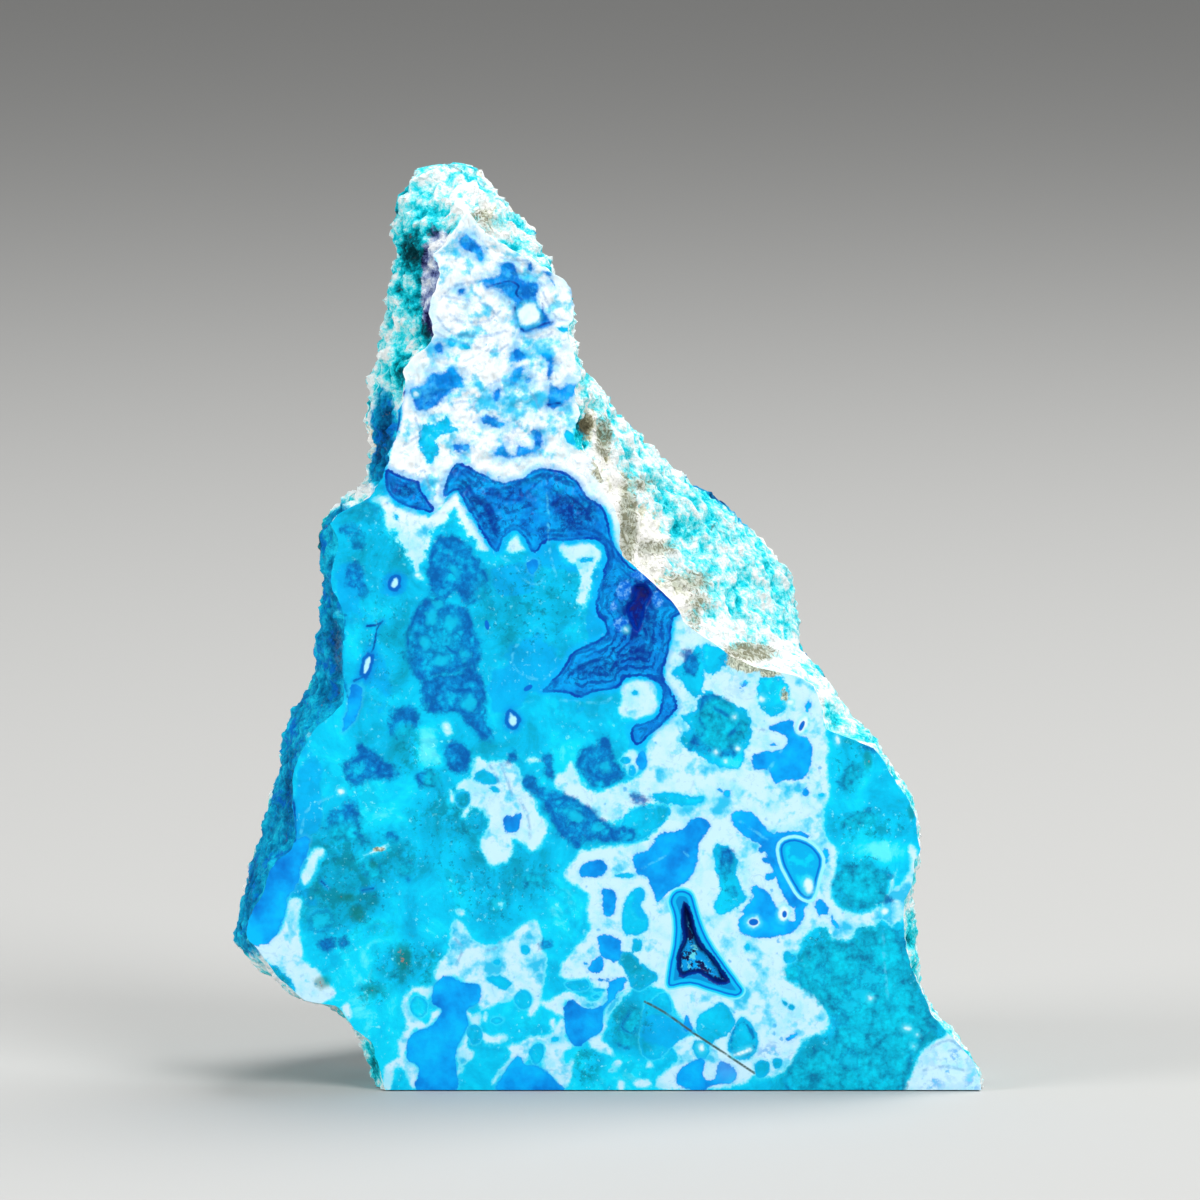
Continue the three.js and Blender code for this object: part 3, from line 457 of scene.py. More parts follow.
# Soft areas: (across, down, half width, half height, strength).
BRIGHT = [
    (385, 800, 75, 28, 1.0), (310, 790, 20, 50, 0.5), (375, 1010, 60, 70, 1.0), (440, 905, 60, 26, 0.8),
    (520, 1020, 45, 20, 0.8), (600, 1075, 60, 22, 1.2), (580, 710, 40, 26, 0.5), (427, 748, 14, 22, 2.4),
    (436, 930, 20, 12, 1.6), (365, 640, 18, 55, 0.4), (850, 790, 22, 55, 0.6), (870, 985, 25, 30, 1.0),
    (800, 955, 20, 20, 0.8), (540, 775, 18, 20, 0.8), (430, 850, 40, 20, 0.5), (560, 880, 20, 20, 0.6),
    (870, 850, 40, 45, 1.3), (886, 851, 22, 14, 2.6), (310, 960, 40, 20, 0.6), (530, 562, 60, 10, 0.5),
    (552, 920, 18, 50, 0.7), (900, 900, 18, 30, 1.4), (480, 900, 14, 40, 0.4), (340, 940, 50, 16, 0.5),
    (460, 560, 12, 10, 0.4), (720, 765, 25, 10, 1.2), (775, 690, 20, 18, 1.3), (650, 1075, 30, 20, 0.8),
    (555, 760, 16, 14, 0.6),
]
TEAL = [
    (442, 638, 26, 30, 0.32), (385, 640, 30, 70, 0.5), (722, 724, 24, 22, 1.2), (450, 820, 38, 32, 0.9),
    (345, 880, 42, 48, 1.2), (490, 895, 40, 30, 0.8), (530, 605, 50, 45, 0.8), (860, 1015, 80, 90, 1.4),
    (870, 825, 40, 16, 0.8), (410, 965, 30, 22, 1.2), (406, 750, 14, 22, 1.1), (436, 788, 12, 22, 0.9),
    (375, 540, 35, 40, 0.4), (480, 860, 60, 30, 0.6), (372, 995, 14, 14, 1.0), (585, 1068, 14, 16, 1.2),
    (530, 880, 30, 20, 0.7), (268, 972, 26, 16, 1.2), (862, 885, 26, 26, 1.2), (727, 885, 14, 30, 0.4),
    (630, 1025, 20, 20, 1.2), (640, 960, 24, 26, 0.4), (380, 860, 50, 20, 0.9), (850, 760, 16, 40, 0.6),
]
AZURE = [
    (512, 580, 20, 16, 0.8), (535, 660, 28, 26, 0.9), (510, 690, 20, 40, 0.5), (308, 800, 15, 35, 0.8),
    (395, 583, 14, 14, 0.6), (515, 718, 14, 14, 0.5), (295, 860, 20, 40, 0.6), (668, 1035, 26, 18, 0.7),
    (350, 590, 14, 30, 0.6), (375, 690, 14, 40, 0.4), (556, 556, 34, 16, 0.6), (640, 750, 12, 20, 0.9),
    (598, 600, 12, 60, 0.6), (380, 500, 30, 16, 0.4), (640, 905, 14, 22, 0.4), (590, 715, 40, 14, 0.35),
]
RUST = [
    (402, 958, 9, 14, 1.0), (372, 992, 7, 8, 0.8), (356, 915, 10, 9, 0.8), (432, 957, 5, 4, 0.7),
    (373, 865, 5, 5, 0.8), (348, 898, 14, 5, 0.7), (321, 984, 8, 7, 1.0), (852, 740, 8, 6, 0.6),
    (912, 812, 4, 8, 0.9), (868, 758, 5, 12, 0.8), (385, 930, 20, 10, 0.4),
]
TAN = [
    (750, 660, 22, 11, 1.2), (770, 672, 12, 6, 0.8), (784, 696, 5, 9, 0.6), (706, 612, 12, 12, 0.5),
    (600, 470, 10, 14, 0.7), (586, 440, 8, 14, 0.7), (378, 850, 8, 3, 0.6),
]
LILAC = [
    (957, 1057, 14, 9, 1.9), (933, 1084, 12, 8, 1.9), (975, 1084, 8, 10, 1.6), (775, 1054, 17, 8, 1.9),
    (330, 990, 7, 6, 1.3), (500, 410, 60, 30, 0.5), (515, 435, 20, 14, 1.0), (480, 320, 45, 32, 0.5),
    (955, 1062, 30, 25, 0.8), (780, 1055, 20, 10, 0.6), (728, 1070, 12, 12, 0.6), (435, 485, 10, 26, 0.6),
    (735, 682, 25, 16, 0.5), (460, 255, 25, 16, 0.4), (540, 345, 50, 14, 0.4), (505, 785, 16, 24, 0.6),
]
STAIN = [
    (690, 768, 55, 13, 0.8), (700, 805, 45, 12, 1.0), (775, 800, 40, 22, 0.7), (745, 845, 30, 25, 0.7),
    (755, 720, 16, 10, 0.5), (770, 955, 30, 30, 0.6), (760, 1000, 50, 35, 0.5), (600, 1000, 40, 14, 0.7),
    (690, 1060, 40, 20, 0.7), (280, 975, 45, 22, 0.4), (495, 790, 35, 40, 0.5), (620, 870, 40, 12, 0.7),
    (840, 928, 30, 14, 0.9), (895, 900, 26, 40, 1.4), (562, 432, 30, 18, 0.8), (445, 430, 40, 25, 0.8),
    (510, 400, 40, 22, 0.7), (460, 345, 40, 12, 0.5), (530, 272, 40, 16, 0.7), (452, 265, 20, 14, 0.7),
    (420, 500, 40, 25, 0.4), (500, 960, 60, 45, 0.9), (560, 1060, 34, 34, 1.0), (620, 1080, 40, 16, 0.8),
    (690, 700, 10, 60, 0.5), (530, 350, 30, 30, 0.5), (430, 1050, 40, 40, 0.6), (540, 1050, 40, 30, 0.5),
    (815, 820, 12, 40, 0.6),
]
RINGED = [
    (635, 650, 42, 62, 1.2), (600, 680, 50, 16, 1.0), (640, 575, 30, 30, 0.8), (408, 490, 24, 20, 0.6),
]
RAGGED = [
    (712, 712, 48, 62, 1.0), (640, 815, 44, 26, 1.0), (730, 880, 26, 44, 0.8), (412, 545, 36, 36, 0.9),
    (470, 530, 24, 26, 0.8), (592, 580, 26, 36, 0.8), (442, 440, 34, 34, 1.0), (500, 400, 70, 50, 0.5),
    (520, 300, 50, 40, 0.4), (630, 965, 34, 40, 0.5), (770, 695, 26, 26, 1.0), (360, 770, 40, 20, 0.6),
    (590, 810, 50, 40, 0.4), (860, 960, 70, 60, 0.6), (500, 790, 50, 50, 0.4), (270, 965, 40, 25, 0.5),
]
BLOTS = [
    (466, 492, 9, 8, 0.8), (476, 504, 9, 10, 1.2), (486, 517, 9, 12, 1.3), (494, 532, 6, 12, 1.0),
    (575, 513, 22, 15, 1.3), (558, 500, 12, 9, 0.8), (525, 496, 14, 5, 0.6), (404, 488, 11, 8, 1.1),
    (640, 610, 22, 40, 0.7), (600, 670, 24, 10, 0.8), (640, 655, 14, 12, 0.8),
]

# Zones of the broken skin seen from the front.
CREAM = [
    (640, 555, 24, 52, 1.0), (612, 500, 18, 30, 1.0), (672, 596, 24, 24, 0.8), (598, 462, 14, 18, 0.9),
    (748, 656, 22, 9, 0.8), (590, 425, 10, 18, 0.8), (488, 212, 12, 12, 0.6), (500, 232, 16, 10, 0.5),
    (352, 1042, 7, 26, 0.6),
]
PALE = [
    (463, 203, 20, 16, 1.2), (505, 232, 36, 14, 1.0), (405, 300, 20, 40, 0.6), (520, 225, 20, 24, 0.7),
    (700, 590, 75, 60, 0.6), (640, 450, 60, 60, 0.8), (438, 184, 44, 20, 1.1), (712, 632, 40, 16, 1.8),
    (780, 655, 30, 20, 2.0), (818, 682, 22, 20, 1.8), (655, 605, 20, 16, 1.4), (850, 690, 20, 40, 0.4),
    (890, 770, 20, 40, 0.5), (270, 970, 30, 20, 0.8), (912, 930, 8, 40, 0.8), (620, 520, 30, 60, 0.6),
    (380, 410, 12, 30, 0.3), (365, 490, 24, 10, 1.2), (352, 1020, 20, 30, 0.5), (358, 1050, 10, 36, 0.9),
]
SHADE = [
    (414, 254, 14, 20, 1.5), (432, 232, 10, 8, 0.9), (430, 322, 9, 26, 1.6), (384, 445, 9, 40, 1.0),
    (582, 432, 10, 20, 1.3), (334, 640, 8, 60, 0.7), (290, 800, 6, 40, 0.6), (250, 900, 8, 40, 0.4),
    (372, 1065, 10, 26, 0.7), (914, 940, 8, 30, 0.7), (440, 275, 7, 24, 1.0), (402, 372, 10, 16, 1.1),
    (612, 545, 5, 20, 0.7), (415, 305, 10, 12, 0.9), (400, 290, 10, 8, 0.7), (420, 275, 8, 8, 0.8),
]
# Olive-tan fibrous patches of the skin, and painted grey-olive shade in the crevices beside the sawn front.
DRAB_AND_SHADE = [
    (655, 548, 22, 9, 0.9), (688, 582, 24, 12, 0.9), (700, 602, 16, 10, 0.8), (628, 520, 9, 46, 1.2),
    (694, 620, 8, 16, 0.7), (750, 652, 26, 9, 1.2), (604, 436, 8, 18, 1.3), (642, 484, 14, 8, 0.8),
    (338, 650, 6, 50, 0.3), (482, 222, 14, 14, 0.8), (655, 570, 30, 20, 0.4),
]
VIOLET = [(434, 286, 12, 50, 1.3), (442, 240, 12, 12, 0.8), (276, 985, 14, 14, 0.7), (405, 400, 8, 20, 0.5)]
DEEP = [
    (272, 780, 34, 90, 2.4), (248, 880, 30, 60, 2.4), (328, 650, 24, 90, 2.0), (384, 450, 14, 50, 1.6),
    (312, 705, 24, 24, 2.4), (330, 548, 18, 44, 2.4), (236, 935, 14, 20, 1.2),
]

# ---- Colours, as seen on a screen ----

SKY = (0, 160, 240)
LAVENDER = (110, 165, 240)
FLOOR_GREY = (180, 180, 178)
PLATE_RIM = (70, 214, 250)
BEAD = (0, 142, 196)
GREEN_BLOTCH = (0, 118, 130)
DARK_SPECK = (0, 108, 146)
PALE_MOTE = (130, 242, 253)
SNOW = (200, 238, 253)
CROWN_SNOW = (246, 253, 255)
SNOW_CLOUD = (146, 228, 250)
SNOW_WISP = (140, 200, 236)
SNOW_LILAC = (104, 180, 240)
STAIN_PALE = (98, 216, 248)
STAIN_STRONG = (0, 186, 234)
SNOW_DOT = (50, 172, 238)
WHITE_HALO = (10, 216, 250)
WHITE_RIM = (120, 234, 253)
LAKE_SHORE = (0, 178, 236)
LAKE_RIM = (60, 222, 252)
CLOUD_RIM = (0, 74, 164)
CELL_WALL = (0, 100, 176)
CELL_FILL = (10, 200, 236)
BLUE_MOTTLE = (60, 184, 246)
BLUE_RIM = (0, 132, 226)
BLUE_BLEED = (70, 192, 248)
NAVY_LOOP = (0, 58, 158)
NAVY_BLOT = (0, 72, 158)
NAVY_GRAIN = (0, 38, 132)
NAVY_SCRIBBLE = (0, 40, 130)
NAVY_GAP = (0, 168, 242)
NAVY_STROKE = (0, 40, 140)
NAVY_LINE = (0, 62, 160)
NAVY_HALO = (0, 178, 252)
NAVY_OUTLINE = (0, 66, 172)
CRYSTAL = (0, 176, 255)
CRYSTAL_LIGHT = (110, 236, 255)
SHIELD_HEART = (0, 206, 244)
EYE_HALO = (0, 130, 224)
EYE_RING = (0, 76, 182)
EYE_PEARL = (186, 243, 253)
PEARL_HALO = (80, 228, 252)
PEARL_WHITE = (222, 248, 253)
PEARL_CENTRE = (0, 106, 206)
VUG_SHADOW = (0, 44, 138)
VUG_RIM = (0, 52, 164)
LOOP_EDGE = (0, 110, 190)
LOOP_CORE = (0, 74, 162)
INK_EDGE = (0, 132, 222)
INK_CORE = (0, 54, 150)
VEIN_CYAN = (90, 214, 250)
FIBRE_GREY = (104, 160, 212)
CRACK_BROWN = (66, 92, 88)
OLIVE = (10, 112, 100)
SKIN_BLUE = (0, 112, 214)
STRAW_STREAK = (128, 120, 88)
# Grey-olive haze: painted shade in the skin's crevices, which also greys its olive patches.
OLIVE_HAZE_AND_SHADE = (176, 186, 166)
DRAB_FLECK = (126, 126, 98)
RUSTY = (110, 100, 100)

# Pairs of a level, or of a depth in millimetres, and the colour there.
GROUND_TONES = (
    (0.24, (0, 138, 168)), (0.36, (0, 166, 204)), (0.46, (0, 186, 232)), (0.57, (0, 202, 244)),
    (0.7, (6, 220, 251)), (0.82, (90, 238, 253)),
)
CLOUD_BLUES = ((0.12, (0, 194, 234)), (0.32, (0, 158, 218)), (0.5, (0, 116, 196)), (0.76, (0, 66, 158)))
CLOUD_GREENS = (
    (0.14, (0, 216, 244)), (0.38, (0, 194, 226)), (0.58, (0, 168, 204)), (0.86, (0, 112, 156)),
)
BLUE_TONES = ((0.3, (0, 112, 206)), (0.41, (0, 140, 228)), (0.52, (0, 166, 245)), (0.64, (0, 188, 251)))
NAVY_GROUND = ((0.34, (0, 104, 200)), (0.48, (0, 136, 222)), (0.64, (0, 172, 244)))
POCKET_BANDS = (
    (-0.1, (120, 234, 252)), (0.04, (0, 204, 246)), (0.2, (0, 116, 216)), (0.36, (0, 186, 240)),
    (0.62, (0, 142, 212)),
)
CORE_BANDS = ((-0.08, (0, 44, 134)), (0.12, (6, 28, 100)), (0.42, (16, 26, 84)))
SHIELD_BANDS = (
    (-0.3, (150, 240, 253)), (-0.05, (0, 178, 244)), (0.06, (0, 112, 212)), (0.22, (0, 176, 236)),
)
BERRY_TONES = ((0.38, (0, 96, 212)), (0.5, (30, 130, 230)), (0.62, (120, 186, 246)))
VUG_TONES = ((0.4, (0, 70, 180)), (0.5, (0, 30, 140)), (0.62, (40, 38, 110)))
TAN_TONES = ((0.4, (112, 112, 84)), (0.5, (176, 176, 146)), (0.62, (226, 230, 212)))
RUST_TONES = ((0.4, (70, 84, 74)), (0.5, (122, 100, 86)), (0.62, (160, 128, 116)))
CRUST_TONES = (
    (0.2, (0, 60, 70)), (0.31, (0, 122, 138)), (0.4, (0, 190, 210)), (0.48, (40, 226, 240)),
    (0.57, (160, 243, 249)), (0.66, (244, 252, 252)),
)
DEEP_BLUES = (
    (0.24, (0, 66, 118)), (0.38, (0, 110, 162)), (0.52, (0, 154, 206)), (0.68, (20, 204, 240)),
)
STRAW_TONES = (
    (0.34, (104, 100, 78)), (0.46, (180, 176, 146)), (0.56, (240, 242, 226)), (0.66, (254, 254, 250)),
)
VIOLET_TONES = (
    (0.22, (24, 26, 74)), (0.34, (100, 116, 172)), (0.46, (186, 204, 232)), (0.56, (244, 248, 252)),
)


def screen_colour(colour):
    """Linear colour of a colour as seen on a screen."""
    linear = [(c / 255 / 12.92) if c <= 10 else ((c / 255 + 0.055) / 1.055) ** 2.4 for c in colour]
    return (*linear, 1.0)


# ---- Reading the CAD stone ----

LOW, HIGH = (Vector(corner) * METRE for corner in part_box(STONE))


def cad_tree():
    """The CAD stone, ready for rays to be cast at it."""
    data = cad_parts[STONE].data
    points = [vertex.co * METRE for vertex in data.vertices]
    return BVHTree.FromPolygons(points, [tuple(face.vertices) for face in data.polygons])


def smooth_step(value, start, end):
    """0 up to start and 1 from end, smooth between."""
    share = np.clip((value - start) / (end - start), 0, 1)
    return share * share * (3 - 2 * share)


def sawn_edges(tree, z):
    """Left and right ends of the sawn front at one height, or None above its top."""
    y = LOW.y + EDGE_DEPTH
    left = tree.ray_cast(Vector((LOW.x - RAY_START, y, z)), Vector((1, 0, 0)))[0]
    right = tree.ray_cast(Vector((HIGH.x + RAY_START, y, z)), Vector((-1, 0, 0)))[0]
    if left is None or right is None or right.x <= left.x:
        return None
    return left.x, right.x


def skin_loop(tree, z, left, right, y):
    """The broken skin at one height, evenly spaced from the right sawn edge round to the left."""
    behind = Vector(((left + right) / 2, HIGH.y + RAY_START, z))
    back = tree.ray_cast(behind, Vector((0, -1, 0)))[0].y
    middle_y = y + MIDDLE_SHARE * (back - y)
    sides = [tree.ray_cast(Vector((x, middle_y, z)), Vector((way, 0, 0)))[0].x
             for x, way in ((LOW.x - RAY_START, 1), (HIGH.x + RAY_START, -1))]
    centre = Vector((sum(sides) / 2, middle_y, z))
    first = math.atan2(y - centre.y, right - centre.x)
    last = math.atan2(y - centre.y, left - centre.x) + 2 * math.pi
    loop = []
    for angle in np.linspace(first, last, RAYS):
        hit = tree.ray_cast(centre, Vector((math.cos(angle), math.sin(angle), 0)))[0]
        loop.append((hit.x, hit.y))
    loop[0], loop[-1] = (right, y), (left, y)
    loop = np.array(loop)
    along = np.concatenate(([0], np.cumsum(np.linalg.norm(np.diff(loop, axis=0), axis=1))))
    even = np.linspace(0, along[-1], SKIN_COLUMNS + 1)
    return np.column_stack([np.interp(even, along, loop[:, axis]) for axis in (0, 1)]), even


def blurred(grid, reach, axis):
    """A grid blurred along one axis, with its ends held."""
    weights = np.exp(-0.5 * (np.arange(-2 * reach, 2 * reach + 1) / reach) ** 2)
    weights /= weights.sum()
    pad = [(0, 0)] * grid.ndim
    pad[axis] = (2 * reach, 2 * reach)
    padded = np.pad(grid, pad, mode="edge")
    size = grid.shape[axis]
    return sum(w * np.take(padded, range(i, i + size), axis=axis) for i, w in enumerate(weights))


SKIN_BLUR = 4                   # rows and columns over which the CAD's facets are smoothed
SKIN_HOLD = 1.5                 # the smoothing starts this far from the sawn edges
DRIFT_COST = 0.35               # how much a sideways run of the edges counts as height
MOST_DRIFT = 3.0                # a jump of the edges counts as no more than this
EDGE_CHIPS = ((3.0, 0.22), (0.9, 0.14), (0.35, 0.08))    # nibbles of the sawn edges: size, depth


def nibble(z, seed):
    """How far the sawn edge is nibbled at one height."""
    chips = sum(deep * noise.noise(Vector((seed * 9.1, seed * 4.7, z / size)))
                for size, deep in EDGE_CHIPS)
    return chips * (1 + smooth_step(z, *CROWN))


def level_heights(tree):
    """Heights of the rows, closer together where the sawn edges run sideways."""
    heights = np.linspace(LOWEST_PROBE, HIGH.z - TIP_RIM, 4 * LEVELS)
    edges = [sawn_edges(tree, z) for z in heights]
    top = next(pair for pair in reversed(edges) if pair)
    edges = np.array([pair or top for pair in edges])
    drift = np.minimum(np.abs(np.diff(edges, axis=0)).max(axis=1), MOST_DRIFT)
    cost = np.concatenate(([0], np.cumsum(np.diff(heights) + DRIFT_COST * drift)))
    rows = np.interp(np.linspace(0, cost[-1], LEVELS + 1), cost, heights)
    rows[0] = 0
    return rows


def front_grid(ends):
    """Points of the sawn front from the left end, right end, depth and height of each row."""
    ends = np.array(ends)
    steps = np.arange((len(ends) - 1) * FACE_ROWS + 1) / FACE_ROWS
    left, right, y, z = (np.interp(steps, np.arange(len(ends)), column)[:, None] for column in ends.T)
    x = left + (right - left) * np.linspace(0, 1, FACE_COLUMNS + 1)
    return np.stack([x, np.broadcast_to(y, x.shape), np.broadcast_to(z, x.shape)], axis=-1)


def stone_grids(tree):
    """Points of the sawn front and of the skin, row by row.

    Also gives the skin's distance from the sawn front, and the row from which the skin closes on itself.
    """
    heights = level_heights(tree)
    ends, skin, seam, away = [], [], [], []
    sawn = True
    for z in heights:
        probe = max(z, LOWEST_PROBE)
        edges = sawn_edges(tree, probe) if sawn else None
        if edges:
            half = (edges[1] - edges[0]) / 2
            left = edges[0] + min(nibble(z, 1), half)
            right = edges[1] + max(nibble(z, 2), -half)
            y = LOW.y
        else:
            left = right = (left + right) / 2
            before = Vector((left, LOW.y - RAY_START, probe))
            y = tree.ray_cast(before, Vector((0, 1, 0)))[0].y
        if sawn:
            ends.append((left, right, y, z))
            top = z
        sawn = bool(edges)
        loop, along = skin_loop(tree, probe, left, right, y)
        skin.append(np.column_stack([loop, np.full(len(loop), z)]))
        seam.append(np.minimum(along, along[-1] - along))
        away.append(np.maximum(seam[-1], z - top))
    skin = np.array(skin)
    soft = blurred(blurred(skin, SKIN_BLUR, 0), SKIN_BLUR, 1)
    hold = smooth_step(np.array(seam), 0, SKIN_HOLD)
    for axis in (0, 1):
        skin[..., axis] += (soft[..., axis] - skin[..., axis]) * hold
    return front_grid(ends), skin, np.array(away), len(ends) - 1


# ---- Fields in pixels of the photograph ----

CURVE_STEPS = 3
CHUNK = 4000                    # spots handled at once
TINY = 1e-9                     # keeps divisions from failing
MASK_FALL, MASK_POWER = 0.7, 1.5        # how a soft mask fades from its middle


def curve(points, closed=True):
    """Given points joined by a smooth curve (Catmull-Rom)."""
    points = np.array(points, float)
    if closed:
        before, after, after_next = (np.roll(points, shift, axis=0) for shift in (1, -1, -2))
        start = points
    else:
        wide = np.vstack([2 * points[0] - points[1], points, 2 * points[-1] - points[-2]])
        before, start, after, after_next = wide[:-3], wide[1:-2], wide[2:-1], wide[3:]
    result = []
    for t in np.arange(CURVE_STEPS) / CURVE_STEPS:
        result.append(0.5 * (2 * start + (after - before) * t
                             + (2 * before - 5 * start + 4 * after - after_next) * t ** 2
                             + (3 * start - before - 3 * after + after_next) * t ** 3))
    smooth = np.stack(result, axis=1).reshape(-1, 2)
    return smooth if closed else np.vstack([smooth, points[-1]])


def distance_to_line(spots, line):
    """Distance from each spot to a line of points."""
    start = line[:-1]
    along = line[1:] - start
    length = np.maximum((along ** 2).sum(axis=1), TINY)
    result = []
    for i in range(0, len(spots), CHUNK):
        offset = spots[i:i + CHUNK, None] - start
        share = np.clip((offset * along).sum(axis=2) / length, 0, 1)
        result.append(((offset - share[..., None] * along) ** 2).sum(axis=2).min(axis=1))
    return np.sqrt(np.concatenate(result))


def is_inside(spots, loop):
    """Whether each spot lies inside a closed loop."""
    x0, y0 = loop[:, 0], loop[:, 1]
    x1, y1 = np.roll(x0, -1), np.roll(y0, -1)
    lean = (x1 - x0) / np.where(y1 == y0, TINY, y1 - y0)
    result = []
    for i in range(0, len(spots), CHUNK):
        x, y = spots[i:i + CHUNK, :1], spots[i:i + CHUNK, 1:]
        crosses = ((y0 > y) != (y1 > y)) & (x < lean * (y - y0) + x0)
        result.append(crosses.sum(axis=1) % 2 == 1)
    return np.concatenate(result)


def near(spots, line):
    """The spots within reach of a line's box."""
    low, high = line.min(axis=0) - REACH, line.max(axis=0) + REACH
    return np.flatnonzero(((spots > low) & (spots < high)).all(axis=1))


def inside_distance(spots, outlines, ovals=()):
    """How far each spot lies inside the nearest of the closed outlines and ovals, negative outside."""
    result = np.full(len(spots), -float(REACH))
    for outline in outlines:
        loop = curve(outline)
        chosen = near(spots, loop)
        if len(chosen):
            distance = distance_to_line(spots[chosen], np.vstack([loop, loop[:1]]))
            signed = np.where(is_inside(spots[chosen], loop), distance, -distance)
            result[chosen] = np.maximum(result[chosen], signed)
    for x, y, half_width, half_height, tilt in ovals:
        turn = math.radians(tilt)
        right, down = spots[:, 0] - x, spots[:, 1] - y
        across = (right * math.cos(turn) + down * math.sin(turn)) / half_width
        along = (down * math.cos(turn) - right * math.sin(turn)) / half_height
        share = np.maximum(np.hypot(across, along), 1e-6)
        slope = np.hypot(across / half_width, along / half_height) / share
        result = np.maximum(result, (1 - share) / slope)
    return result


def line_distance(spots, lines):
    """Distance from each spot to the nearest of the open lines."""
    result = np.full(len(spots), float(REACH))
    for points in lines:
        line = curve(points, closed=False)
        chosen = near(spots, line)
        if len(chosen):
            result[chosen] = np.minimum(result[chosen], distance_to_line(spots[chosen], line))
    return result


def soft_mask(spots, areas):
    """The strongest of the soft ovals at each spot."""
    result = np.zeros(len(spots))
    for x, y, half_width, half_height, strength in areas:
        away = ((spots[:, 0] - x) / half_width) ** 2 + ((spots[:, 1] - y) / half_height) ** 2
        result = np.maximum(result, strength * np.exp(-MASK_FALL * away ** MASK_POWER))
    return result


def photo_spots(points):
    """Where points of the stone lie in the photograph."""
    rise = points[:, 2] * math.cos(ELEVATION) + (points[:, 1] - LOW.y) * math.sin(ELEVATION)
    return np.column_stack([PIXEL_LEFT + (points[:, 0] - LOW.x) / PIXEL, PIXEL_BASE - rise / PIXEL])


# ---- The stone's mesh ----

FAR = 20.0                      # a distance well clear of the sawn edges
ROUGH_START = 0.7               # the skin is fully rough this far from a sawn edge
FRONT_FACING = (-0.1, 0.2)      # between these the skin turns from the back to the front
PIT_WALL = 5                    # pixels over which a pit goes down
POCKET_DEEP = 0.7
VUG_DEEP = 0.6
CROWN_DEEP = 0.45               # depth of the hollows between the crown's knobs
KNOB, KNOB_GRAIN = 1.6, 0.7     # sizes of the knobs and of the grain on them
KNOB_MARGIN = (0.1, 1.2)        # the knobs start between these distances from the sawn edges
SWELL, SWELL_HIGH = 2.2, 0.36   # size and height of the skin's swells
CRAG, CRAG_HIGH = 1.3, 0.34     # of its crags
GRAIN, GRAIN_HIGH = 0.9, 0.42   # and of its sugary grains
CROWN_EXTRA = 0.5               # the skin of the crown is rougher by this share
SKIN_EDGE = (0.1, 1.2)          # the skin's colour has an edge zone up to these distances
SKIN_SHARP, FACE_SHARP = 50, 60     # edges with a larger angle are drawn sharp, in degrees


def skin_relief(point):
    """How far one place of the broken skin is lifted: swells, crags and sugary grains."""
    swell = SWELL_HIGH * noise.fractal(point / SWELL, 1.0, 2.0, 2)
    crags = CRAG_HIGH * (noise.ridged_multi_fractal(point / CRAG, 1.0, 2.0, 3, 1.0, 2.0) - 1.0)
    grains = GRAIN_HIGH * (0.5 - noise.voronoi(point / GRAIN)[0][0])
    return (swell + crags + grains) * (1 + CROWN_EXTRA * smooth_step(point.z, *CROWN))


def roughen_skin(skin, away, closed):
    """Lifts the skin by its relief. Returns the relief and how much each point faces the front."""
    across = np.gradient(skin, axis=1)
    up = np.gradient(skin, axis=0)
    normal = np.cross(across, up)
    normal /= np.maximum(np.linalg.norm(normal, axis=2, keepdims=True), TINY)
    normal[0, :, 2] = 0
    for column in (0, -1):
        normal[closed:, column] = (normal[closed:, 0] + normal[closed:, -1]) / 2
    amount = smooth_step(away, 0, ROUGH_START)
    relief = np.zeros(away.shape)
    for row, column in np.argwhere(amount > 0):
        relief[row, column] = skin_relief(Vector(skin[row, column]))
    skin += (amount * relief)[..., None] * normal
    skin[0, :, 2] = 0
    facing = normal[..., 2] * math.sin(ELEVATION) - normal[..., 1] * math.cos(ELEVATION)
    return relief, smooth_step(facing, *FRONT_FACING)


def roughen_face(points, rows, columns):
    """Lets the pocket and the vug into the sawn front and makes its crown knobbly."""
    spots = photo_spots(points)
    for outline, deep in ((POCKET_CORE, POCKET_DEEP), (VUG, VUG_DEEP)):
        points[:, 1] += deep * smooth_step(inside_distance(spots, [outline]), -1, PIT_WALL)
    row, column = np.divmod(np.arange(len(points)), columns)
    width = np.ptp(points[:, 0].reshape(rows, columns), axis=1)[row]
    inward = np.minimum(column, columns - 1 - column) / columns * width
    amount = smooth_step(points[:, 2], *CROWN) * smooth_step(inward, *KNOB_MARGIN) * (row < rows - 1)
    for i in np.flatnonzero(amount > 0):
        place = Vector(points[i])
        knobs = noise.voronoi(place / KNOB)[0][0]
        knobs += 0.5 * noise.fractal(place / KNOB_GRAIN, 1.0, 2.0, 3)
        points[i, 1] += amount[i] * CROWN_DEEP * max(knobs, 0)


def cap_points(ring, rise):
    """Rings that close one end, the middle last."""
    middle = ring.mean(axis=0)
    points = []
    for i in range(1, CAP_RINGS):
        share = i / CAP_RINGS
        inner = ring + (middle - ring) * share
        inner[:, 2] = ring[:, 2] + rise * math.sin(share * math.pi / 2)
        points.append(inner)
    middle[2] = ring[:, 2].mean() + rise
    return np.vstack([*points, middle])


def cap_faces(first_ring, start, count):
    """Faces of a cap: its outer ring starts at one index and its inner rings at another."""
    faces = []
    outer = np.arange(count) + first_ring
    for i in range(CAP_RINGS - 1):
        inner = np.arange(count) + start + i * count
        faces += zip(outer, np.roll(outer, -1), np.roll(inner, -1), inner)
        outer = inner
    middle = start + (CAP_RINGS - 1) * count
    faces += [(a, b, middle) for a, b in zip(outer, np.roll(outer, -1))]
    return faces


def grid_faces(rows, columns):
    """Four-sided faces between the points of a grid."""
    row, column = np.mgrid[0:rows - 1, 0:columns - 1]
    corner = row * columns + column
    corners = [corner, corner + 1, corner + columns + 1, corner + columns]
    return np.stack(corners, axis=-1).reshape(-1, 4).tolist()


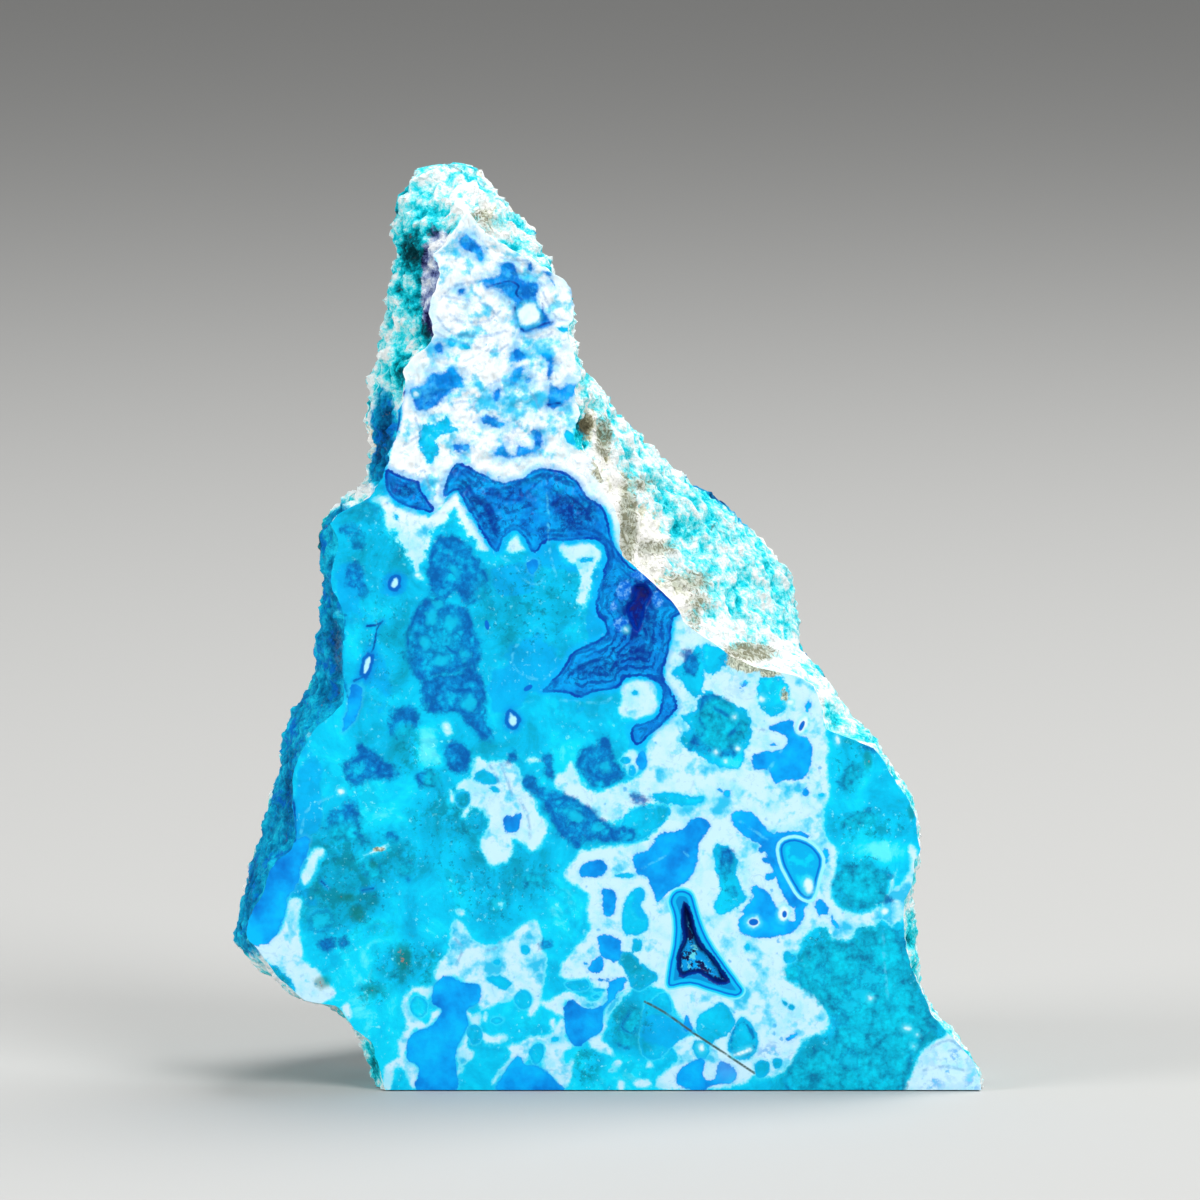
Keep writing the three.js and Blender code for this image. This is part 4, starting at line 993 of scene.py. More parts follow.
def make_mesh(name, points, faces, sharp):
    mesh = bpy.data.meshes.new(name)
    mesh.from_pydata((points / METRE).tolist(), [], [tuple(int(i) for i in face) for face in faces])
    mesh.shade_smooth()
    mesh.set_sharp_from_angle(angle=math.radians(sharp))
    return mesh


# ---- Fields on the mesh ----

def store(mesh, name, values):
    """Keeps one number for each point of a mesh, for its material to read."""
    layer = mesh.attributes.new(name, "FLOAT", "POINT")
    layer.data.foreach_set("value", np.ascontiguousarray(values, dtype=np.float32))


# Name, closed outlines and ovals of each kind of marking.
SHAPES = (
    ("white", WHITE, WHITE_OVALS),
    ("lake", LAKES, LAKE_OVALS),
    ("blue", BLUE, BLUE_OVALS),
    ("navy", NAVY, ()),
    ("cloud", CLOUDS, CLOUD_OVALS),
    ("cell", (), CELLS),
    ("pocket", [POCKET], ()),
    ("core", [POCKET_CORE], ()),
    ("vug", [VUG], ()),
    ("shield", [SHIELD], ()),
    ("berry", (), BERRIES),
    ("eye", DROPS, EYES),
    ("pearl", PEARL_SHAPES, PEARLS),
    ("centre", (), CENTRES),
)
LINES = {"ink": INK, "stroke": STROKES, "loop": LOOPS, "vein": VEINS, "fibre": FIBRES, "crack": CRACK}
FACE_MASKS = {
    "bright": BRIGHT, "teal": TEAL, "azure": AZURE, "rust": RUST, "tan": TAN,
    "lilac": LILAC, "stain": STAIN, "blot": BLOTS, "ringed": RINGED, "ragged": RAGGED,
}
SKIN_MASKS = {
    "cream": CREAM, "pale": PALE, "shade": SHADE, "deep": DEEP, "violet": VIOLET, "drab_and_shade": DRAB_AND_SHADE,
}


def paint_face(mesh, points):
    """Gives every point of the sawn front its distance to each kind of marking and its soft masks."""
    spots = photo_spots(points)
    for name, outlines, ovals in SHAPES:
        store(mesh, name, PIXEL * inside_distance(spots, outlines, ovals))
    for name, lines in LINES.items():
        store(mesh, name, PIXEL * line_distance(spots, lines))
    for name, areas in FACE_MASKS.items():
        store(mesh, name, soft_mask(spots, areas))


def paint_skin(mesh, points, away, relief, seen):
    """Gives every point of the skin its soft masks, where it is seen from the front, and its relief."""
    spots = photo_spots(points)
    for name, areas in SKIN_MASKS.items():
        store(mesh, name, soft_mask(spots, areas) * seen)
    store(mesh, "edge", 1 - smooth_step(away, *SKIN_EDGE))
    store(mesh, "seen", seen)
    store(mesh, "relief", relief)


# ---- Shader building ----

FINEST = 0.05                   # noise has no octaves finer than this


class Shader:
    """Builds a node tree with short calls. Sizes are in millimetres."""

    def __init__(self, name):
        self.material = bpy.data.materials.new(name)
        self.material.use_nodes = True
        self.tree = self.material.node_tree
        self.surface = self.tree.nodes["Principled BSDF"]
        where = self.tree.nodes.new("ShaderNodeTexCoord").outputs["Object"]
        self.place = self.vector("SCALE", where, scale=METRE)
        axes = self.tree.nodes.new("ShaderNodeSeparateXYZ")
        self.plug(axes.inputs[0], self.place)
        self.height = axes.outputs["Z"]

    def plug(self, socket, value):
        if hasattr(value, "links"):
            self.tree.links.new(value, socket)
        elif value is not None:
            socket.default_value = value

    def math(self, kind, a, b=None):
        node = self.tree.nodes.new("ShaderNodeMath")
        node.operation = kind
        for socket, value in zip(node.inputs, (a, b)):
            self.plug(socket, value)
        return node.outputs[0]

    def add(self, *values):
        total = values[0]
        for value in values[1:]:
            total = self.math("ADD", total, value)
        return total

    def times(self, *values):
        total = values[0]
        for value in values[1:]:
            total = self.math("MULTIPLY", total, value)
        return total

    def vector(self, kind, a, b=None, scale=None):
        node = self.tree.nodes.new("ShaderNodeVectorMath")
        node.operation = kind
        self.plug(node.inputs[0], a)
        self.plug(node.inputs[1], b)
        if scale is not None:
            self.plug(node.inputs["Scale"], scale)
        return node.outputs[0]

    def field(self, name):
        node = self.tree.nodes.new("ShaderNodeAttribute")
        node.attribute_name = name
        return node.outputs["Fac"]

    def noise_node(self, size, detail, rough, twist):
        node = self.tree.nodes.new("ShaderNodeTexNoise")
        self.plug(node.inputs["Vector"], self.place)
        node.inputs["Scale"].default_value = 1 / size
        node.inputs["Detail"].default_value = min(detail, math.log2(size / FINEST))
        node.inputs["Roughness"].default_value = rough
        node.inputs["Distortion"].default_value = twist
        return node

    def noise(self, size, detail=3.0, rough=0.55, twist=0.0):
        """Noise between 0 and 1, mostly near a half."""
        return self.noise_node(size, detail, rough, twist).outputs["Fac"]

    def sway(self, size, amount, detail=3.0, rough=0.55):
        """Noise about 0, up to half the amount either way."""
        return self.times(self.add(self.noise(size, detail, rough), -0.5), amount)

    def bent(self, size, amount):
        """The place, pushed about by noise."""
        colour = self.noise_node(size, 3, 0.6, 0).outputs["Color"]
        push = self.vector("SUBTRACT", colour, (0.5, 0.5, 0.5))
        return self.vector("ADD", self.place, self.vector("SCALE", push, scale=amount))

    def loose(self, name, *sway):
        """A field with its edges pushed about by noise."""
        return self.add(self.field(name), self.sway(*sway))

    def cells(self, size, place=None):
        """Distance to the middle of the nearest cell, in cell sizes."""
        node = self.tree.nodes.new("ShaderNodeTexVoronoi")
        self.plug(node.inputs["Vector"], place or self.place)
        node.inputs["Scale"].default_value = 1 / size
        return node.outputs["Distance"]

    def step(self, value, start, end):
        """0 before start and 1 past end, smooth between; end may be the smaller."""
        if end < start:
            return self.step(self.times(value, -1), -start, -end)
        node = self.tree.nodes.new("ShaderNodeMapRange")
        node.interpolation_type = "SMOOTHSTEP"
        self.plug(node.inputs["Value"], value)
        node.inputs["From Min"].default_value = start
        node.inputs["From Max"].default_value = end
        return node.outputs["Result"]

    def band(self, value, middle, half):
        """1 where a value is near the middle, fading to 0 at half away."""
        return self.step(self.math("ABSOLUTE", self.add(value, -middle)), half, half * 0.3)

    def mix(self, share, under, over):
        node = self.tree.nodes.new("ShaderNodeMix")
        node.data_type = "RGBA"
        self.plug(node.inputs["Factor"], share)
        for socket, colour in ((node.inputs[6], under), (node.inputs[7], over)):
            self.plug(socket, colour if hasattr(colour, "links") else screen_colour(colour))
        return node.outputs[2]

    def tint(self, under, over, *shares):
        """One colour over another, as strong as the product of the shares."""
        return self.mix(self.times(*shares), under, over)

    def ramp(self, value, stops):
        """Colours along a value, from pairs of value and colour."""
        node = self.tree.nodes.new("ShaderNodeValToRGB")
        self.plug(node.inputs["Fac"], value)
        elements = node.color_ramp.elements
        for element, (position, colour) in ((elements[0], stops[0]), (elements[1], stops[-1])):
            element.position = position
            element.color = screen_colour(colour)
        for position, colour in stops[1:-1]:
            elements.new(position).color = screen_colour(colour)
        return node.outputs["Color"]

    def finish(self, colour, roughness, shine):
        self.plug(self.surface.inputs["Base Color"], colour)
        self.surface.inputs["Roughness"].default_value = roughness
        self.surface.inputs["Specular IOR Level"].default_value = shine
        return self.material

    def bump(self, depth, height):
        node = self.tree.nodes.new("ShaderNodeBump")
        node.inputs["Distance"].default_value = depth / METRE
        self.plug(node.inputs["Height"], height)
        self.plug(self.surface.inputs["Normal"], node.outputs["Normal"])


# ---- The sawn front's material ----

BAND_BLUR = 0.05                # half the width over which one band gives way to the next
LINE_SPACING = 0.62             # between the lines that follow the navy wing's outline
CRYSTAL_HEIGHTS = (14.5, 12.0)  # the pocket's crystals lie below these heights


def ground_colour(s):
    """Turquoise ground: clouds of teal and cyan, bluer plates, fine cells and specks."""
    tone = s.times(s.add(s.field("bright"), s.times(s.field("teal"), -0.8)), 0.15)
    level = s.add(s.noise(4.2, 6, 0.64, twist=0.7), tone, s.sway(0.5, 0.15, 3, 0.7))
    colour = s.ramp(level, GROUND_TONES)
    plates = s.loose("azure", 2.4, 1.5, 4, 0.55)
    colour = s.tint(colour, SKY, s.step(plates, 0.3, 0.46), 0.5)
    colour = s.tint(colour, PLATE_RIM, s.band(plates, 0.3, 0.04), s.step(s.noise(1.0, 3), 0.45, 0.6),
                    0.15)
    beads = s.times(s.step(s.cells(0.9, s.bent(1.1, 1.6)), 0.3, 0.66),
                    s.step(s.noise(2.6, 4), 0.46, 0.62))
    colour = s.tint(colour, BEAD, beads, 0.3)
    green = s.times(s.step(s.field("teal"), 0.1, 1.0), s.step(s.noise(1.3, 5, 0.7), 0.47, 0.6))
    colour = s.tint(colour, GREEN_BLOTCH, green, 0.6)
    specks = s.times(s.step(s.noise(0.5, 3, 0.72), 0.55, 0.65), s.step(s.field("teal"), 0.05, 0.6))
    colour = s.tint(colour, DARK_SPECK, specks, 0.6)
    motes = s.times(s.step(s.noise(0.45, 4, 0.68), 0.59, 0.69), s.step(s.noise(2.5, 4), 0.42, 0.56))
    return s.tint(colour, PALE_MOTE, motes, s.add(0.45, s.times(s.field("bright"), 0.4)))


def snow_colour(s):
    """White with soft clouding, grey-blue fibres, stains and small dots."""
    crown = s.step(s.height, *CROWN)
    snow = s.mix(crown, SNOW, CROWN_SNOW)
    clouding = s.add(0.8, s.times(crown, -0.35))
    snow = s.tint(snow, SNOW_CLOUD, s.step(s.noise(1.7, 5, 0.6), 0.46, 0.7), clouding)
    wisps = s.step(s.noise(0.9, 5, 0.7, twist=1.6), 0.54, 0.7)
    snow = s.tint(snow, SNOW_WISP, wisps, 0.5)
    lilac = s.times(s.field("lilac"), s.step(s.noise(0.75, 5, 0.68), 0.44, 0.6))
    snow = s.tint(snow, SNOW_LILAC, lilac, 0.5)
    stain = s.add(s.noise(1.5, 4, 0.55), s.times(s.field("stain"), 0.16))
    snow = s.tint(snow, STAIN_PALE, s.step(stain, 0.56, 0.68), 0.85)
    snow = s.tint(snow, STAIN_STRONG, s.step(stain, 0.65, 0.76), 0.85)
    dots = s.times(s.step(s.cells(1.1, s.bent(0.5, 0.5)), 0.2, 0.1), s.step(s.noise(2.2, 3), 0.52, 0.6))
    return s.tint(snow, SNOW_DOT, dots, 0.7)


def add_white(s, colour, wobble):
    """White patches with a bright cyan halo."""
    edge = s.add(s.field("white"), wobble)
    halo = s.step(s.add(edge, s.sway(1.6, 1.1, 4, 0.6)), -0.45, 0.0)
    colour = s.tint(colour, WHITE_HALO, halo, 0.6)
    colour = s.tint(colour, WHITE_RIM, s.step(edge, -0.14, 0.06), 0.9)
    return s.mix(s.step(edge, -0.02, 0.2), colour, snow_colour(s))


def add_lakes(s, colour, wobble, ground):
    """Turquoise lakes inside the white, with a bluer shore."""
    edge = s.add(s.field("lake"), s.times(wobble, 0.7))
    lake = s.tint(ground, LAKE_SHORE, s.step(edge, 0.32, 0.04), 0.7)
    colour = s.tint(colour, LAKE_RIM, s.step(edge, -0.22, 0.0), 0.5)
    return s.mix(s.step(edge, -0.04, 0.07), colour, lake)


def add_clouds(s, colour, wobble):
    """Mottled clouds: dark rims round small bright beads of many sizes, and dark-walled cells."""
    edge = s.loose("cloud", 1.0, 2.0, 5, 0.68)
    heart = s.step(edge, 0.1, 0.8)
    teal = s.step(s.field("teal"), 0.1, 0.6)
    small = s.cells(0.6, s.bent(0.7, 1.0))
    large = s.cells(1.5, s.bent(1.3, 1.8))
    beads = s.add(s.times(small, 0.45), s.times(large, 0.4), s.sway(0.4, 0.9, 3, 0.72),
                  s.sway(2.0, 1.0, 4, 0.6), 0.16, s.times(heart, -0.12))
    blue = s.ramp(beads, CLOUD_BLUES)
    green = s.ramp(beads, CLOUD_GREENS)
    tone = s.mix(teal, blue, green)
    rim = s.times(s.band(edge, 0.1, 0.2), s.step(s.noise(0.9, 4, 0.6), 0.42, 0.56),
                  s.add(1.0, s.times(teal, -0.6)))
    tone = s.tint(tone, CLOUD_RIM, rim, 0.7)
    colour = s.tint(colour, tone, s.step(edge, -0.35, 0.3), 0.88)
    cell = s.add(s.field("cell"), s.times(wobble, 2.4))
    colour = s.tint(colour, CELL_WALL, s.band(cell, -0.12, 0.22), 0.3)
    return s.tint(colour, CELL_FILL, s.step(cell, -0.15, 0.5), 0.75)


def add_blue(s, colour, wobble):
    """Sky-blue patches, with mottled insides and softer edges on the crown."""
    crown = s.step(s.height, *CROWN)
    edge = s.times(s.add(s.field("blue"), s.times(wobble, 0.8)), s.add(1.0, s.times(crown, -0.55)))
    level = s.add(s.noise(3.0, 4, 0.6), s.times(crown, -0.1))
    tone = s.ramp(level, BLUE_TONES)
    mottle = s.times(crown, s.step(s.noise(1.0, 5, 0.65), 0.48, 0.66))
    tone = s.tint(tone, BLUE_MOTTLE, mottle, 0.7)
    tone = s.tint(tone, BLUE_RIM, s.step(edge, 0.16, 0.02), 0.5, s.add(1.0, s.times(crown, -0.6)))
    pale = s.times(s.field("lilac"), s.add(1.0, s.times(crown, -1)))
    tone = s.tint(tone, LAVENDER, pale, 0.5)
    bleed = s.step(s.add(edge, s.times(crown, s.sway(1.2, 0.7, 3, 0.5))), -0.3, 0.0)
    colour = s.tint(colour, BLUE_BLEED, bleed, s.add(0.25, s.times(crown, 0.35)))
    return s.mix(s.step(edge, -0.05, 0.07), colour, tone)


def add_navy(s, colour, wobble):
    """The navy wing: lines that follow its outline, then looser blots and loops."""
    depth = s.add(s.field("navy"), s.times(wobble, 0.6))
    inner = s.step(depth, 0.5, 1.0)
    ground = s.ramp(s.noise(1.8, 6, 0.66), NAVY_GROUND)
    waves = s.math("SINE", s.times(s.add(depth, s.sway(1.3, 1.5, 5, 0.62)), 2 * math.pi / LINE_SPACING))
    loops = s.times(s.step(waves, -0.2, 0.7), s.step(s.noise(1.5, 4, 0.6), 0.34, 0.5),
                    s.field("ringed"))
    ground = s.tint(ground, NAVY_LOOP, loops, 0.75)
    cores = s.step(s.loose("blot", 1.3, 1.4, 5, 0.66), 0.15, 1.3)
    ground = s.tint(ground, NAVY_BLOT, cores, 0.6)
    grains = s.times(cores, s.step(s.noise(0.5, 5, 0.72), 0.46, 0.58))
    ground = s.tint(ground, NAVY_GRAIN, grains, 0.8)
    inked = s.step(s.add(s.noise(2.2, 3), s.times(inner, 0.1)), 0.5, 0.6)
    scribbles = s.times(s.step(s.noise(0.7, 4, 0.7, twist=1.2), 0.52, 0.6), inked)
    ground = s.tint(ground, NAVY_SCRIBBLE, scribbles, 0.6)
    ground = s.tint(ground, NAVY_GAP, s.step(s.noise(0.5, 4, 0.7), 0.43, 0.35), 0.5)
    stroke = s.step(s.loose("stroke", 0.8, 0.9, 4, 0.7), 0.24, 0.0)
    ground = s.tint(ground, NAVY_STROKE, stroke, 0.65)
    drift = s.add(depth, s.sway(1.6, 0.5, 4, 0.6))
    for middle, strength in ((0.42, 0.6), (0.86, 0.4)):
        line = s.times(s.band(drift, middle, 0.17), s.step(s.noise(1.4 + middle, 3), 0.46, 0.6))
        ground = s.tint(ground, NAVY_LINE, line, strength)
    colour = s.tint(colour, NAVY_HALO, s.step(s.add(depth, s.sway(1.4, 0.5)), -0.6, -0.05), 0.6)
    colour = s.mix(s.step(depth, -0.06, 0.08), colour, ground)
    worn = s.add(0.5, s.times(s.step(s.noise(2.0, 3), 0.4, 0.56), 0.5))
    outline = s.times(s.band(depth, 0.1, 0.16), worn)
    return s.mix(outline, colour, NAVY_OUTLINE)


def layered(s, colour, depth, tones):
    """Paints one tone over another as the depth passes each start."""
    for start, tone in tones:
        colour = s.mix(s.step(depth, start - BAND_BLUR, start + BAND_BLUR), colour, tone)
    return colour


def add_pocket(s, colour):
    """The three-sided pocket: blue line, cyan band, navy line and a dark core with crystals."""
    depth = s.loose("pocket", 0.9, 0.12)
    colour = layered(s, colour, depth, POCKET_BANDS)
    core = s.loose("core", 0.6, 0.5, 4, 0.65)
    colour = layered(s, colour, core, CORE_BANDS)
    low = s.step(s.height, *CRYSTAL_HEIGHTS)
    crystals = s.times(s.step(core, 0.24, 0.5), s.step(s.noise(1.1, 5, 0.65), 0.44, 0.5), low)
    colour = s.mix(crystals, colour, CRYSTAL)
    return s.tint(colour, CRYSTAL_LIGHT, crystals, s.step(s.noise(0.5, 4, 0.6), 0.54, 0.62))


def add_shield(s, colour):
    """The banded shield-shaped spot."""
    depth = s.loose("shield", 0.8, 0.1)
    colour = layered(s, colour, depth, SHIELD_BANDS)
    return s.tint(colour, SHIELD_HEART, s.step(depth, 0.3, 0.6),
                  s.step(s.noise(1.3, 4, 0.6), 0.52, 0.62))


def add_eyes(s, colour):
    """Small pearls: plain ones, and ones with a navy ring and a blue halo."""
    eye = s.loose("eye", 0.7, 0.5, 4)
    colour = s.tint(colour, EYE_HALO, s.step(eye, -0.9, -0.1), 0.6)
    colour = s.tint(colour, EYE_RING, s.band(eye, -0.16, 0.2), 0.75)
    colour = s.tint(colour, EYE_PEARL, s.step(eye, -0.06, 0.12), 0.94)
    pearl = s.loose("pearl", 0.7, 0.6, 4)
    colour = s.tint(colour, PEARL_HALO, s.step(pearl, -0.4, 0), 0.5)
    colour = s.mix(s.step(pearl, -0.12, 0.2), colour, PEARL_WHITE)
    return s.mix(s.step(s.field("centre"), -0.06, 0.05), colour, PEARL_CENTRE)


def add_vug(s, colour):
    """A dark hole in the navy, with soft blue grains round it."""
    vug = s.loose("vug", 0.9, 1.3, 5, 0.7)
    colour = s.tint(colour, VUG_SHADOW, s.step(vug, -1.1, -0.1),
                    s.step(s.noise(0.7, 5, 0.7), 0.36, 0.56))
    berry = s.loose("berry", 0.6, 0.8, 5, 0.65)
    grain = s.ramp(s.noise(0.45, 5, 0.7), BERRY_TONES)
    colour = s.tint(colour, grain, s.step(berry, -0.1, 0.15), 0.85)
    colour = s.mix(s.step(vug, -0.15, 0.2), colour, VUG_RIM)
    dark = s.ramp(s.noise(0.8, 5, 0.7), VUG_TONES)
    return s.mix(s.step(vug, 0.0, 0.5), colour, dark)


def add_lines(s, colour):
    """Thin lines: loops, inked lines, veins, fibres and the crack."""
    loop = s.loose("loop", 0.9, 0.5, 5, 0.65)
    broken = s.step(s.noise(1.1, 4, 0.65), 0.38, 0.56)
    colour = s.tint(colour, LOOP_EDGE, s.step(loop, 0.36, 0.05), 0.4, broken)
    colour = s.tint(colour, LOOP_CORE, s.step(loop, 0.15, 0.0), 0.6, broken)
    ink = s.loose("ink", 0.6, 0.2, 4)
    colour = s.tint(colour, INK_EDGE, s.step(ink, 0.42, 0.08), 0.4)
    worn = s.add(0.45, s.times(s.step(s.noise(0.9, 4, 0.6), 0.4, 0.56), 0.45))
    colour = s.tint(colour, INK_CORE, s.step(ink, 0.14, 0.03), worn)
    vein = s.loose("vein", 0.6, 0.3, 4)
    vein = s.times(s.step(vein, 0.18, 0.02), s.step(s.noise(0.7, 4, 0.6), 0.42, 0.62))
    colour = s.tint(colour, VEIN_CYAN, vein, 0.55)
    fibre = s.loose("fibre", 0.8, 0.4, 4)
    fibre = s.times(s.step(fibre, 0.22, 0.02), s.step(s.noise(0.8, 4, 0.6), 0.36, 0.56))
    colour = s.tint(colour, FIBRE_GREY, fibre, 0.6)
    crack = s.times(s.step(s.field("crack"), 0.15, 0.03), s.step(s.noise(0.8, 3), 0.25, 0.5))
    return s.mix(crack, colour, CRACK_BROWN)


def add_earth(s, colour):
    """Rust-coloured specks in olive stains, and tan fibrous patches."""
    tan = s.step(s.loose("tan", 0.8, 1.2, 5, 0.7), 0.35, 0.6)
    straw = s.ramp(s.noise(0.5, 5, 0.7, twist=2.0), TAN_TONES)
    colour = s.tint(colour, straw, tan, 0.9)
    rust = s.field("rust")
    olive = s.step(s.add(rust, s.sway(0.8, 1.2, 4, 0.7)), 0.2, 0.9)
    colour = s.tint(colour, OLIVE, olive, 0.6)
    grains = s.step(s.add(s.times(rust, 0.5), s.sway(0.5, 1.8, 4, 0.7)), 0.54, 0.7)
    tint = s.ramp(s.noise(0.5, 3), RUST_TONES)
    return s.tint(colour, tint, grains, 0.85)


def face_material():
    """The ground first, then each kind of marking over it."""
    s = Shader("sawn front")
    wobble = s.add(s.sway(0.8, 0.75, 5, 0.62), s.sway(0.2, 0.12))
    wobble = s.add(wobble, s.times(s.sway(0.55, 1.7, 5, 0.62), s.field("ragged")))
    ground = ground_colour(s)
    colour = add_white(s, ground, wobble)
    colour = add_lakes(s, colour, wobble, ground)
    colour = add_clouds(s, colour, wobble)
    colour = add_blue(s, colour, wobble)
    colour = add_navy(s, colour, wobble)
    for add_mark in (add_shield, add_pocket, add_vug, add_lines, add_eyes, add_earth):
        colour = add_mark(s, colour)
    s.bump(0.03, s.noise(0.5, 5, 0.65))
    return s.finish(colour, roughness=0.36, shine=0.1)


# ---- The broken skin's material ----

def skin_material():
    """Sugary crust: turquoise flanks and zones of their own, with painted shade in the hollows and painted
    light on the raised crystal tops.
    """
    s = Shader("broken skin")
    hidden = s.add(1.0, s.times(s.field("seen"), -1))
    zones = s.noise(6.5, 5, 0.62)
    pale = s.math("MAXIMUM", s.field("pale"), s.times(hidden, s.step(zones, 0.48, 0.58)))
    sandy = s.step(s.noise(7.0, 4, 0.6), 0.57, 0.63)
    cream = s.math("MAXIMUM", s.field("cream"), s.times(hidden, sandy))
    shade = s.math("MAXIMUM", s.field("shade"), s.times(hidden, s.step(zones, 0.44, 0.38)))
    bluish = s.step(s.noise(8.0, 4, 0.6), 0.56, 0.62)
    deep = s.math("MAXIMUM", s.field("deep"), s.times(hidden, bluish))
    # Painted shade and light: the relief darkens the crust in its hollows and lightens it on its raised
    # grains.
    level = s.add(0.53, s.sway(1.7, 0.85, 7, 0.72), s.sway(0.6, 0.5, 4, 0.7),
                  s.times(s.field("relief"), 0.2))
    level = s.add(level, s.times(pale, 0.08), s.times(cream, 0.12), s.times(shade, -0.24))
    level = s.add(level, s.times(s.field("edge"), 0.06))
    crust = s.ramp(level, CRUST_TONES)
    blue = s.ramp(level, DEEP_BLUES)
    blue = s.tint(blue, SKIN_BLUE, s.step(s.noise(1.6, 6, 0.7), 0.5, 0.64), 0.8)
    crust = s.mix(s.step(s.add(deep, s.sway(1.4, 1.4, 6, 0.72)), 0.2, 0.8), crust, blue)
    straw = s.ramp(level, STRAW_TONES)
    streaks = s.times(s.step(s.noise(0.8, 5, 0.7, twist=2.2), 0.57, 0.68),
                      s.step(s.noise(2.4, 3), 0.46, 0.58))
    straw = s.tint(straw, STRAW_STREAK, streaks, 0.8)
    crust = s.mix(s.step(s.add(cream, s.sway(1.0, 1.6, 5, 0.7)), 0.35, 0.6), crust, straw)
    violet = s.ramp(level, VIOLET_TONES)
    crust = s.mix(s.step(s.loose("violet", 0.8, 1.4, 5, 0.7), 0.4, 0.7), crust, violet)
    # Painted shade: a smooth grey-olive laid over the drab areas, under their flecks. Over the olive
    # patches it also greys their own colour.
    olive_haze_and_shade = s.times(s.step(s.loose("drab_and_shade", 1.2, 1.2, 4, 0.6), 0.3, 1.0), 0.7)
    crust = s.mix(olive_haze_and_shade, crust, OLIVE_HAZE_AND_SHADE)
    flecks = s.step(s.add(s.noise(0.9, 5, 0.7, twist=2.4), s.times(s.field("drab_and_shade"), 0.08)), 0.52, 0.64)
    crust = s.tint(crust, DRAB_FLECK, s.step(s.field("drab_and_shade"), 0.1, 0.7), flecks, 0.85)
    rusty = s.times(s.step(s.noise(0.9, 5, 0.75), 0.62, 0.7), s.step(level, 0.66, 0.44))
    crust = s.tint(crust, RUSTY, rusty, 0.7)
    s.bump(0.4, s.add(s.noise(0.4, 6, 0.75), s.times(s.cells(0.5), 0.5)))
    return s.finish(crust, roughness=0.65, shine=0.05)


def make_piece(name, mesh, material):
    """One physical piece that rides on the stone's body and takes the place of the CAD stone."""
    piece = bpy.data.objects.new(name, mesh)
    bpy.context.scene.collection.objects.link(piece)
    mesh.materials.append(material)
    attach(piece, "root")
    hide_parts(STONE)


def weld(faces, same):
    """Faces after joining points, and the points kept. Point same[i] stands for point i."""
    kept = np.flatnonzero(same == np.arange(len(same)))
    number = np.zeros(len(same), int)
    number[kept] = np.arange(len(kept))
    faces = [list(dict.fromkeys(number[same[list(face)]])) for face in faces]
    return [face for face in faces if len(face) > 2], kept


def make_skin(skin, away, relief, seen, closed):
    """The broken skin, closed by a cap on the base and one at the tip."""
    rows, columns = skin.shape[:2]
    base, tip = cap_points(skin[0], 0), cap_points(skin[-1], TIP_RIM)
    points = np.vstack([skin.reshape(-1, 3), base, tip])
    count = rows * columns
    faces = grid_faces(rows, columns)
    faces += [face[::-1] for face in cap_faces(0, count, columns)]
    faces += cap_faces(count - columns, count + len(base), columns)
    same = np.arange(len(points))
    for first in (closed * columns + columns * np.arange(rows - closed),
                  count + len(base) + columns * np.arange(CAP_RINGS - 1)):
        same[first + columns - 1] = first
    faces, kept = weld(faces, same)
    mesh = make_mesh("broken_skin", points[kept], faces, SKIN_SHARP)
    away = np.concatenate([away.reshape(-1), np.full(len(base) + len(tip), FAR)])
    relief = np.concatenate([relief.reshape(-1), np.zeros(len(base) + len(tip))])
    seen = np.concatenate([seen.reshape(-1), np.zeros(len(base)), np.ones(len(tip))])
    paint_skin(mesh, points[kept], away[kept], relief[kept], seen[kept])
    make_piece("broken_skin", mesh, skin_material())


def make_stone():
    """The sawn front in three parts, and the broken skin."""
    face, skin, away, closed = stone_grids(cad_tree())
    relief, seen = roughen_skin(skin, away, closed)
    rows, columns = face.shape[:2]
    roughen_face(face.reshape(-1, 3), rows, columns)
    material = face_material()
    cuts = np.linspace(0, rows - 1, len(FACE_PARTS) + 1).astype(int)
    for part, first, last in zip(FACE_PARTS, cuts, cuts[1:]):
        points = face[first:last + 1].reshape(-1, 3)
        mesh = make_mesh("sawn_front_" + part, points, grid_faces(last + 1 - first, columns), FACE_SHARP)
        paint_face(mesh, points)
        make_piece(mesh.name, mesh, material)
    make_skin(skin, away, relief, seen, closed)


# ---- Studio ----

FLOOR_SIZE = 12                 # metres, like all lengths of the studio
FLOOR_DROP = 0.0001
FLOOR_ROUGHNESS = 0.8
# Name, place, size and power of each light.
LIGHTS = (
    ("key", (0.45, -0.6, 0.6), 0.5, 5.8),
    ("fill", (-0.75, -0.35, 0.4), 0.5, 4.7),
    ("top", (0.25, 0.25, 0.8), 0.6, 6.4),
)
WORLD_STRENGTH = 0.3
CLIP_END = 20


